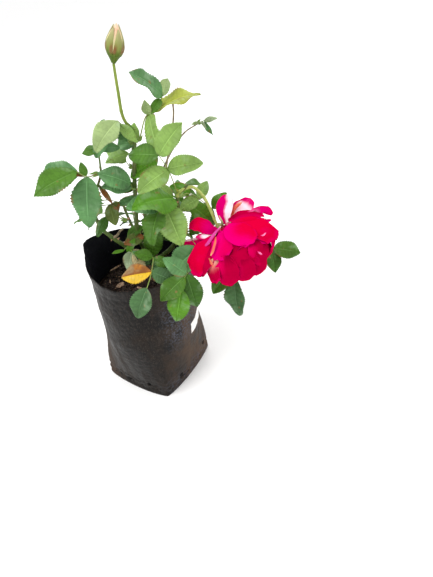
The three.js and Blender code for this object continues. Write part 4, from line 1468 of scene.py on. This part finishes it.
def make_leaf(name, cane, height, light, legs, blades):
    line = stalk_line(cane, height, legs)
    stalk_heap.tube(line, stalk_radius, 8, 26)
    for sign in (1, -1):
        stipule(stalk_heap, line, sign)
    for share, heading, rise, length, tone, *rest in blades:
        turn, slim = [*rest, *(0, 1)[len(rest):]]
        grow_blade(line.at(share * 0.998), heading, rise, length, tone, turn, slim, light)
    leaf_names.append(name)


def grow_blade(foot, heading, rise, length, tone, turn=0, slim=1, light=LIGHT):
    net, places = leaflet_net(foot, direction(heading, rise), turn, length, light, slim)
    pattern = HALF_AND_HALF if tone == "amber" else BLADE_FINISH
    tone_heaps[tone].sheet(net, SHEET, pattern, 2, places)


def odd_leaf(limb, foot, heading, rise, length, tone, slim):
    """One leaflet on a thin stalk from the nearest point of its limb."""
    foot = np.array(foot, float)
    points = limbs[limb].points
    start = points[np.argmin(np.linalg.norm(points - foot + [0, 0, 8], axis=1))]
    bend = (start + foot) / 2 + [0, 0, 0.12 * np.linalg.norm(foot - start)]
    stalk_heap.tube(Line([start, bend, foot]), lambda share, angles: 0.6 - 0.2 * share + 0 * angles, 6, 10)
    grow_blade(foot, heading, rise, length, tone, 0, slim)


for name, (cane, height, legs, blades) in LEAVES.items():
    make_leaf(name, cane, height, LIGHT, legs, blades)
for far in far_leaves():
    make_leaf(*far)
for leaf in ODD_LEAVES:
    odd_leaf(*leaf)
stalk_heap.piece("leaf_stalks", [leaf_stalk, leaf_finishes["light"][0]], "leaves", leaf_names)
for tone, heap in tone_heaps.items():
    heap.piece(f"leaflets_{tone}", leaf_finishes[tone], "leaves")

# %% [markdown]
# ## Petals
#
# A petal is a sheet that is narrow at its foot and broad and round at its end. Its middle line leans
# away from the flower's axis more and more, it is cupped across, and its rim rolls back. One function
# makes every petal of the bloom and the bud from these few numbers. A cloth simulation would give softer
# folds, but no say in where each petal lies.

# %% Shape a petal
PETAL_ROWS = 26
PETAL_COLUMNS = 21
PETAL_SHEET = 0.5
petal_draws = np.random.default_rng(5)


def petal_grid(columns=PETAL_COLUMNS):
    """The rows from foot to rim, 0 to 1, and the columns from side to side, -1 to 1."""
    return np.linspace(0, 1, PETAL_ROWS)[:, None], np.linspace(-1, 1, columns)[None]


def frame_round(axis):
    """Two directions square to an axis: to its right, and up."""
    right = unit(np.cross(axis, [0, 0, 1]))
    return -right, np.cross(axis, -right)


def petal_net(root, axis, angle, lean, length, width, cup, roll, ruffle, foot, point=0.0):
    """A petal's net. lean holds the angles to the axis at its foot and tip, cup the share of a half turn
    that it wraps round, roll how far its rim turns back, foot how far from the axis it begins and point
    how pointed its tip is."""
    right, up = frame_round(axis)
    a = math.radians(angle)
    out = math.cos(a) * right + math.sin(a) * up
    side = np.cross(axis, out)
    v, u = petal_grid()
    fine = np.linspace(0, 1.06, 160)
    tilt = np.radians(lean[0] + (lean[1] - lean[0]) * fine**1.25)
    step = length * (fine[1] - fine[0])
    along_axis = np.concatenate([[0], np.cumsum(np.cos(tilt[:-1]) * step)])
    outwards = foot + np.concatenate([[0], np.cumsum(np.sin(tilt[:-1]) * step)])
    reach = v * (1 - 0.2 * np.abs(u) ** 2.4) + point * 0.06 * (1 - np.abs(u)) * v**6
    depth = np.interp(reach, fine, along_axis)
    far = np.interp(reach, fine, outwards)
    lie = np.interp(reach, fine, tilt)
    broad = 0.5 * width * (0.2 + 0.8 * np.sin(0.5 * np.pi * np.minimum(v / 0.66, 1)) ** 1.1)
    broad = broad * (1 - 0.2 * smoothstep(v, 0.7, 1.0) ** 2)
    half_turn = np.pi * max(abs(cup), 0.02)
    wrap = half_turn * u
    radius = broad / half_turn
    lateral = radius * np.sin(wrap)
    inward = radius * (1 - np.cos(wrap)) * np.sign(cup)
    rim = np.maximum(np.abs(u), v) ** 7
    swing = petal_draws.uniform(0, FULL_TURN, 3)
    wavy = ruffle * 0.05 * width * v**2 * (
        np.sin(2.6 * u + swing[0]) * 0.6 + np.abs(u) * np.sin(7 * v + swing[1]) * 0.5
        + 0.35 * np.sin(6.5 * u + 3 * v + swing[2]) * v)
    backward = roll * width * rim * 0.5 + wavy - inward
    back_axis, back_out = -np.sin(lie), np.cos(lie)
    net = (root + axis * (depth + back_axis * backward)[..., None]
           + out * (far + back_out * backward)[..., None] + side * lateral[..., None])
    return net, places_of(u * 0.5 + 0.5, v)


print("a petal's net has", PETAL_ROWS * PETAL_COLUMNS, "points on each side")


# %% [markdown]
# ## Petal finishes
#
# The bloom is cherry red and turns magenta towards the rims: partly the rose's own tint, partly a painted
# sheen on the curved rims. The petals' foot and back are paler, from pink to cream, with fine streaks that
# run from the foot to the rim, but the crimson petals have a dark foot: painted shade where a petal comes
# out from under the next. Two tiny pale pink slivers are painted highlights on petal edges. The blade
# coordinates carry the fade and the streaks: along for the fade and across, stretched, for the streaks.
# Petals are velvety, so they get next to no mirror shine.

# %% Paint the petals
CREAM = colour(250, 222, 200)
PINK = colour(250, 170, 206)
WHITE_PINK = colour(252, 226, 236)
MAGENTA = colour(208, 0, 104)
ROSE_RED = colour(200, 0, 78)
RUBY = colour(186, 0, 60)
SCARLET = colour(196, 0, 50)
CRIMSON = colour(166, 0, 50)
# dark crimson at the foot of the crimson petals: painted shade where a petal comes out from under the next
PAINTED_SHADE_CRIMSON = colour(120, 0, 36)
LAVENDER = colour(198, 66, 146)
AMBER = colour(214, 104, 84)
ROSY = colour(240, 120, 170)
PETAL_LOOKS = {
    # foot, middle, rim, where foot turns to middle, where the rim begins, streaks, side, where it begins
    "scarlet": (ROSE_RED, SCARLET, ROSE_RED, (0.0, 0.4), (0.84, 1.0), 0.3),
    "magenta": (ROSE_RED, MAGENTA, ROSE_RED, (0.0, 0.3), (0.8, 1.0), 0.2),
    "crimson": (PAINTED_SHADE_CRIMSON, CRIMSON, RUBY, (0.0, 0.5), (0.88, 1.05), 0.35),
    "blush": (CREAM, ROSY, MAGENTA, (0.1, 0.6), (0.8, 1.0), 0.15),
    "pale": (CREAM, WHITE_PINK, PINK, (0.0, 0.4), (0.9, 1.0), 0.1),
    "rimmed": (CREAM, WHITE_PINK, MAGENTA, (0.0, 0.3), (0.62, 0.86), 0.1),
    "lavender": (PINK, LAVENDER, MAGENTA, (0.0, 0.2), (0.85, 1.0), 0.2),
    "dry": (colour(196, 96, 60), AMBER, colour(236, 170, 130), (0.0, 0.4), (0.8, 1.0), 0.3),
    "rose": (AMBER, ROSE_RED, MAGENTA, (-0.1, 0.12), (0.8, 1.0), 0.3, MAGENTA, (0.3, 0.7)),
    "streaked": (colour(240, 180, 160), CRIMSON, ROSE_RED, (0.05, 0.7), (0.85, 1.0), 0.3),
    "crimson side": (PAINTED_SHADE_CRIMSON, CRIMSON, RUBY, (0.0, 0.4), (0.86, 1.0), 0.35, ROSE_RED, (0.45, 0.95)),
    "pale side": (ROSE_RED, MAGENTA, MAGENTA, (0.0, 0.2), (0.9, 1.0), 0.2, WHITE_PINK, (0.42, 0.62)),
    "scarlet side": (ROSE_RED, SCARLET, MAGENTA, (0.0, 0.3), (0.86, 1.0), 0.3, MAGENTA, (0.4, 0.9)),
    "sweep": (MAGENTA, SCARLET, ROSE_RED, (0.0, 0.5), (0.9, 1.0), 0.3, MAGENTA, (0.3, 0.9)),
    "rosy side": (WHITE_PINK, ROSE_RED, MAGENTA, (0.0, 0.4), (0.84, 1.0), 0.2, WHITE_PINK, (0.55, 0.9)),
    # the next look is pale pink: a painted highlight on a petal edge
    "curl": (MAGENTA, colour(236, 128, 176), MAGENTA, (0.0, 0.5), (0.7, 1.0), 0.2),
    "warm": (MAGENTA, SCARLET, ROSE_RED, (0.3, 0.75), (0.9, 1.0), 0.25),
}
FACE = {name: index for index, name in enumerate(PETAL_LOOKS)}


def petal_finish(name, foot, middle, rim, fade, rim_at, streak, side=None, side_at=None):
    petal = Finish(f"{name} petal", {"Specular IOR Level": 0.0, "Roughness": 0.6})
    across, along = petal.blade()
    spread = petal.node("ShaderNodeCombineXYZ", {}, {0: across * 26, 1: along * 1.6})
    fibre = petal.node("ShaderNodeTexNoise", {}, {"Vector": spread, "Scale": 1.0, "Detail": 4.0})
    cloud = petal.grain(85, 3)
    reach = along.maths("MAXIMUM", along, abs(across * 2 - 1) * 0.97)
    base = petal.mix(petal.between(along + 0.28 * fibre + 0.15 * cloud - 0.2, *fade), foot, middle)
    # the rim tone is partly the rose's own magenta edge and partly a painted sheen on the curved rim
    base = petal.mix(petal.between(reach + 0.1 * cloud - 0.05, *rim_at), base, rim)
    base = petal.mix(petal.between(petal.grain(60, 3), 0.52, 0.74) * 0.4, base, rim)
    if side:
        base = petal.mix(petal.between(across + 0.3 * fibre + 0.3 * cloud - 0.3, *side_at), base, side)
    petal.feed({
        "Base Color": petal.mix(petal.between(fibre, 0.5, 0.8) * streak, base, shade(middle, 0.7)),
        "Normal": petal.bump(fibre, 0.2, 0.4),
    })
    return petal


petal_finishes = [petal_finish(name, *looks) for name, looks in PETAL_LOOKS.items()]
print(len(petal_finishes), "petal finishes")

# %% [markdown]
# ## The bloom
#
# The flower is heavy and nods, so its axis points down and to the front. Inside, a spiral of petals stands
# round the heart by the golden angle, as real petals do, and two whorls close round it like a cup. The
# petals of the far side are flared and folded back by a short table of angles.
#
# The near side is what one looks at, and there no petal is like the next. So each of those is laid out on
# its own: a middle line of points told from the calyx (millimetres right, up and towards the viewer), a
# half width, how far it is cupped and its two finishes. Its outer face looks away from the heart, or
# towards the viewer where it has folded back over the stalk.

# %% Build the bloom
GOLDEN_ANGLE = 137.5
VIEW = np.array([(0.990, -0.0895, -0.1066), (0.139, 0.6366, 0.7586), (0.0, -0.766, 0.643)])
HEART = CALYX + 30 * BLOOM_AXIS
FAR_PETALS = (
    # angle, leans, length, width, cup, roll, back, face
    (22, (60, 98), 44, 34, 0.12, 0.16, "rose", "blush"),
    (0, (50, 88), 50, 34, 0.14, 0.14, "rose", "magenta"),
    (336, (44, 80), 50, 42, 0.18, 0.12, "rose", "scarlet"),
    (206, (46, 92), 46, 40, 0.16, 0.14, "rose", "crimson"),
    (232, (40, 84), 48, 44, 0.18, 0.14, "pale", "scarlet"),
    (268, (44, 88), 46, 42, 0.16, 0.14, "rimmed", "scarlet"),
    (300, (42, 86), 48, 44, 0.18, 0.14, "rimmed", "magenta"),
)
CUP_PETALS = (
    # first angle, leans, length, width, cup, roll
    (28, (14, 52), 54, 50, 0.22, 0.12),
    (64, (10, 34), 50, 44, 0.24, 0.10),
)
HEART_PETALS = 11
BACK_VIEW = (-0.1, 0.45, 0.9)  # the way a petal looks that has folded back over the stalk
NEAR_PETALS = (
    # middle line, half width, cup, outer finish, inner finish, looks
    (((-2, -5, 8), (-12, -2, 14), (-23, 2, 16), (-32, -1, 11)), 9.5, 0.5, "warm", "blush", BACK_VIEW),
    (((-4, -9, 11), (-15, -11, 16), (-25, -13, 15)), 4, 0.3, "rimmed", "blush", BACK_VIEW),
    (((-4, -10, 8), (-18, -14, 10), (-31, -17, 8), (-42, -18, 4)), 6, 0.7, "rosy side", "rosy side",
     BACK_VIEW),
    (((-6, -13, 20), (-16, -26, 26), (-24, -40, 24), (-23, -53, 16)), 13, 0.4, "scarlet", "blush",
     (-0.45, 0.1, 0.9)),
    (((-4, -18, 26), (-13, -30, 28), (-19, -43, 25), (-19, -54, 19)), 13, 0.5, "crimson", "blush", None),
    (((5, -7, 30), (3, -19, 37), (0, -30, 40), (0, -39, 40)), 14, 0.55, "rose", "crimson", None),
    (((6, -4, 32), (17, -10, 40), (27, -14, 44), (36, -18, 44)), 14, 0.5, "sweep", "crimson", None),
    (((11, -1, 26), (31, -2, 34), (48, -7, 35), (59, -14, 28)), 15, 0.55, "scarlet", "crimson", None),
    (((22, -6, 37), (36, -13, 40), (47, -20, 36)), 7, 0.6, "scarlet side", "crimson", None),
    (((9, 5, 16), (23, 11, 20), (36, 13, 16), (47, 11, 8)), 7, 0.6, "crimson side", "blush", (0, 0.6, 0.8)),
    (((12, 2, 22), (34, 5, 25), (47, 5, 18)), 4.4, 0.5, "scarlet", "crimson", (0, 0.4, 0.9)),
    (((7, 3, 4), (5, 16, 4), (7, 27, 0), (8, 36, -6)), 9, -0.3, "pale side", "magenta", (-0.2, -0.2, 1)),
    (((14, 10, -2), (22, 18, -2), (30, 26, -6), (35, 33, -10)), 10, -0.2, "rimmed", "rose", (0, 0, 1)),
    (((13, 12, 3), (17, 21, 3), (24, 27, 0)), 2.0, 0.9, "dry", "dry", (0, 0, 1)),
    (((29, 13, -4), (41, 18, -6), (52, 21, -10), (59, 16, -12)), 5.5, 0.4, "magenta", "rose", (0, 0.2, 1)),
    (((40, 10, 0), (48, 7, -2), (57, 9, -6)), 2.4, 0.4, "rose", "magenta", (0, 0.2, 1)),
    (((1, -2, 22), (-7, -11, 28), (-12, -19, 28), (-16, -24, 23)), 2.4, 1.2, "lavender", "pale", None),
    (((-4, -15, 38), (-6, -25, 41), (-9, -34, 39)), 1.4, 1.0, "dry", "rose", None),
    (((-4, -31, 34), (-9, -42, 33), (-8, -52, 29), (-5, -60, 22)), 11, 0.5, "streaked", "crimson", None),
    (((-11, -36, 35), (-7, -46, 34), (-4, -54, 29)), 2.0, 1.0, "dry", "blush", None),
    (((6, -34, 44), (7, -46, 42), (7, -55, 34), (7, -62, 25)), 13, 0.5, "crimson side", "crimson", None),
    (((12, -20, 40), (21, -29, 45), (26, -38, 43), (28, -45, 37)), 14, 0.5, "crimson", "crimson", None),
    (((20, -35, 44), (24, -45, 41), (25, -53, 35), (23, -58, 28)), 12, 0.5, "crimson side", "crimson", None),
    (((29, -17, 42), (37, -24, 43), (40, -33, 38), (37, -42, 32)), 13, 0.5, "crimson side", "crimson", None),
    (((39, -18, 40), (46, -26, 36), (46, -36, 30), (40, -44, 25)), 13, 0.5, "crimson", "crimson", None),
    (((50, -10, 32), (57, -18, 27), (55, -27, 20), (49, -34, 18)), 11, 0.5, "crimson side", "crimson", None),
    (((32, -23, 38), (37, -34, 36), (38, -44, 32), (34, -52, 26)), 11, 0.4, "crimson side", "crimson",
     (0.3, -0.2, 0.9)),
    # two tiny pale slivers: painted highlights where petal edges catch the light
    (((40, -14, 43), (43, -14, 44), (46, -11, 43)), 0.8, 0.9, "curl", "curl", None),
    (((37, -30, 45), (40, -32, 45), (42, -33, 43)), 0.9, 0.9, "curl", "curl", None),
)
END_SIDES = 2.4
FOOT_SHARE = 0.3


def laid_petal(path, half_width, cup, looks):
    """A petal's net along its own middle line, told from the calyx as one sees it."""
    line = Line([CALYX + np.array(point) @ VIEW for point in path])
    v, u = petal_grid()
    middle = line.at(v[:, 0])
    along = np.gradient(middle, axis=0)
    along /= np.linalg.norm(along, axis=1, keepdims=True)
    face = middle - HEART if looks is None else np.array(looks) @ VIEW + 0 * middle
    face = face - along * (face * along).sum(axis=1, keepdims=True)
    face /= np.linalg.norm(face, axis=1, keepdims=True)
    side = np.cross(along, face)
    swing = petal_draws.uniform(0, FULL_TURN, 3)
    broad = half_width * (FOOT_SHARE + (1 - FOOT_SHARE) * np.sin(0.5 * np.pi * np.minimum(v / 0.6, 1)))
    broad = broad * (1 - 0.12 * smoothstep(v, 0.75, 1.0))
    lap = 0.05 * np.sin(5 * v + swing[0])
    tear = 0.03 * np.sin(13 * v + 2 * np.sign(u) + swing[1])
    lateral = broad * u * (1 + lap + tear)
    wavy = 0.15 * half_width * v**1.5 * (
        0.7 * np.sin(2.2 * u + swing[0]) + 0.6 * np.abs(u) * np.sin(7 * v + swing[1])
        + 0.3 * np.sin(6 * u + 3 * v + swing[2]) * v)
    rim = np.maximum(np.abs(u), v) ** 8
    lift = wavy - cup * broad * u**2 * 0.55 + 0.12 * half_width * rim
    notches = 0.018 * np.sin(9 * u + swing[0]) + 0.012 * np.sin(17 * u + swing[2])
    pulled = v * (1 - notches - (0.24 + 0.05 * np.sin(3.5 * u + swing[2])) * np.abs(u) ** END_SIDES)
    rows = line.at(pulled)
    net = rows + side[:, None] * lateral[..., None] + face[:, None] * lift[..., None]
    return net, places_of(u * 0.5 + 0.5, v)


def add_petal(heap, net_and_places, outer, inner):
    """One petal of the bloom, with the finish of its outer and of its inner face."""
    net, places = net_and_places
    heap.sheet(net, PETAL_SHEET, [FACE[outer]] * (PETAL_COLUMNS - 1), FACE[inner], places)


def make_bloom():
    heap = Heap()
    root = CALYX + 4 * BLOOM_AXIS
    for angle, *shape, outer, inner in FAR_PETALS:
        add_petal(heap, petal_net(root, BLOOM_AXIS, angle, *shape, 1.3, 5.0), outer, inner)
    for first, *shape in CUP_PETALS:
        for k in range(5):
            net = petal_net(root, BLOOM_AXIS, first + 72 * k, *shape, 1.0, 4.0)
            add_petal(heap, net, "rose", "crimson")
    for k in range(HEART_PETALS):
        age = k / (HEART_PETALS - 1)
        shape = ((4 + 8 * age, 2 + 24 * age), 46 + 6 * age, 22 + 16 * age, 0.44 - 0.12 * age)
        net = petal_net(root, BLOOM_AXIS, 40 + k * GOLDEN_ANGLE, *shape, 0.12, 0.9, 1.5 + 2 * age)
        add_petal(heap, net, "crimson", "crimson")
    for path, half_width, cup, outer, inner, looks in NEAR_PETALS:
        add_petal(heap, laid_petal(path, half_width, cup, looks), outer, inner)
    heap.piece("bloom_petals", petal_finishes, "petals", ["rose_bloom"])


make_bloom()

# %% [markdown]
# ## Hips and sepals
#
# Under the petals sits the hip, a small green urn, and five sepals hang from its rim. They are narrow
# sheets with a long tip. On the bloom they have folded back along the stalk, on the bud they still hug
# the petals.

# %% Hips and sepals
HIP_SIZE = (10, 5.2)  # length and radius
SEPAL_SIZE = (15, 7)  # length and width
SEPAL_LEAN = (80, 150)
SEPAL_SHEET = 0.45


def sepal_finish(name, green, flush):
    sepal = Finish(name, {"Roughness": 0.5, "Specular IOR Level": 0.35})
    tone = sepal.mix(sepal.grain(160, 4), shade(green, 0.8), shade(green, 1.15))
    sepal.feed({"Base Color": sepal.mix(sepal.between(sepal.grain(120, 3), 0.5, 0.7) * 0.6, tone, flush)})
    return sepal


sepal_green = sepal_finish("sepal green", colour(132, 150, 76), colour(168, 104, 78))
sepal_inner = sepal_finish("sepal lining", colour(186, 198, 150), colour(170, 184, 126))


def hip(heap, base, axis, length, radius):
    line = Line([base, base + axis * length * 0.5, base + axis * length])

    def swell(share, angles):
        return radius * (0.45 + 0.55 * math.sin(math.pi * min(share * 0.75 + 0.08, 1))) * (1 + 0 * angles)
    heap.tube(line, swell, 20, 14)


def sepal(heap, angle):
    """A petal's net that is narrowed to a tip and folded back along the stalk."""
    root = CALYX + 3 * BLOOM_AXIS
    net, places = petal_net(root, BLOOM_AXIS, angle, SEPAL_LEAN, *SEPAL_SIZE, 0.3, 0.0, 0.4, 4.4, 1.0)
    taper = np.linspace(1, 0.12, PETAL_ROWS)[:, None, None] ** 1.1
    middle = net[:, PETAL_COLUMNS // 2][:, None]
    heap.sheet(middle + (net - middle) * taper, SEPAL_SHEET, [0] * (PETAL_COLUMNS - 1), 1, places)


def make_sepals():
    heap = Heap()
    hip(heap, CALYX - 4 * BLOOM_AXIS, BLOOM_AXIS, *HIP_SIZE)
    for k in range(5):
        sepal(heap, 96 + 72 * k)
    heap.piece("bloom_sepals", [sepal_green, sepal_inner], "soft_stalk")


make_sepals()

# %% [markdown]
# ## The bud
#
# The bud is a closed spindle. Its petals show as a rolled cone, cream with a pink flush, and the sepals
# clasp it from below with their tips just lifting.

# %% Build the bud
BUD_RADIUS = 7.7
# the radius along the bud, as shares of its length and of that radius
BUD_PROFILE = ((0.0, 0.2), (0.1, 0.4), (0.24, 0.76), (0.34, 0.93), (0.44, 0.98), (0.6, 0.86), (0.8, 0.52),
               (0.93, 0.24), (0.995, 0.06))
HIP_PROFILE = ((0, 0.26), (0.06, 0.38), (0.13, 0.56), (0.2, 0.76), (0.25, 0.88), (0.27, 0.6), (0.28, 0.1),
               (1, 0.01))
FRONT_GAP = 176  # where the petals show between two sepals
CLASP_COLUMNS = 13
bud_line = Line([BUD_BASE, (BUD_BASE + BUD_TIP) / 2, BUD_TIP])


def bud_radius(profile, share):
    return BUD_RADIUS * np.interp(share, *zip(*profile))


def clasping_sepal(heap, angle):
    """A sepal that follows the bud's own profile a little way off."""
    axis = unit(BUD_TIP - BUD_BASE)
    length = float(np.linalg.norm(BUD_TIP - BUD_BASE))
    right, up = frame_round(axis)
    t, u = petal_grid(CLASP_COLUMNS)
    share = np.linspace(0.2, 0.93 + 0.05 * math.sin(angle), PETAL_ROWS)[:, None]
    half_angle = np.radians(35) * (1 - 0.5 * t**1.6) * np.sqrt(np.maximum(1 - t**9, 0)) + 0.02
    a = math.radians(angle) + half_angle * u + 0.16 * (t - 0.3)
    off = 0.3 + 0.25 * t**4 + 0.55 * (1 - u**2)
    radius = bud_radius(BUD_PROFILE, share) + off
    out = np.cos(a)[..., None] * right + np.sin(a)[..., None] * up
    net = BUD_BASE + axis * (share * length)[..., None] + out * radius[..., None]
    places = places_of(u * 0.5 + 0.5, 0.2 + 0.8 * t)
    heap.sheet(net, PETAL_SHEET, [0] * (CLASP_COLUMNS - 1), 1, places)


def make_bud():
    def girth(share, angles):
        swirl = 1 + 0.05 * np.sin(2 * angles + 7 * share) + 0.03 * np.sin(5 * angles - 9 * share)
        return bud_radius(BUD_PROFILE, share) * swirl
    petals = Heap()
    petals.tube(bud_line, girth, 36, 46)
    petals.piece("bud_petals", [bud_petal], "bud", ["rose_bud"])
    green = Heap()
    green.tube(bud_line, lambda share, angles: bud_radius(HIP_PROFILE, share) + 0 * angles, 28, 30)
    for k in range(5):
        clasping_sepal(green, FRONT_GAP + 36 + 72 * k)
    green.piece("bud_sepals", [bud_green, sepal_inner], "bud")


def bud_finish():
    petal = Finish("bud petal", {"Roughness": 0.55, "Specular IOR Level": 0.2})
    tip = petal.between(petal.blade()[1] + 0.15 * petal.grain(150, 3), 0.6, 1.0)
    tone = petal.mix(tip, colour(216, 206, 156), colour(226, 190, 160))
    speckle = petal.between(petal.grain(260, 3, (1, 1, 0.3)), 0.5, 0.75) * 0.4
    petal.feed({"Base Color": petal.mix(speckle, tone, colour(206, 140, 108))})
    return petal


def bud_sepal_finish():
    """Deep green at the foot, silvery olive towards the tip, with a brown-red flush low at both sides."""
    skin = Finish("bud sepal", {"Roughness": 0.55, "Specular IOR Level": 0.2})
    across, along = skin.blade()
    fine = skin.grain(420, 4, (1, 1, 0.2))
    tone = skin.mix(skin.between(along + 0.1 * fine, 0.26, 0.6), colour(70, 96, 20), colour(122, 130, 62))
    tone = skin.mix(skin.between(along + 0.1 * fine, 0.5, 1.05), tone, colour(164, 160, 112))
    low = skin.within(along, (0.24, 0.36), (0.42, 0.66))
    flush = low * skin.between(abs(across * 2 - 1) + 0.5 * fine, 0.45, 0.95)
    tone = skin.mix(flush * 0.8, tone, colour(120, 56, 40))
    grey = shade(colour(150, 150, 90), 0.8)
    skin.feed({"Base Color": skin.mix(skin.between(fine, 0.4, 0.7) * 0.3, tone, grey)})
    return skin


bud_petal = bud_finish()
bud_green = bud_sepal_finish()
make_bud()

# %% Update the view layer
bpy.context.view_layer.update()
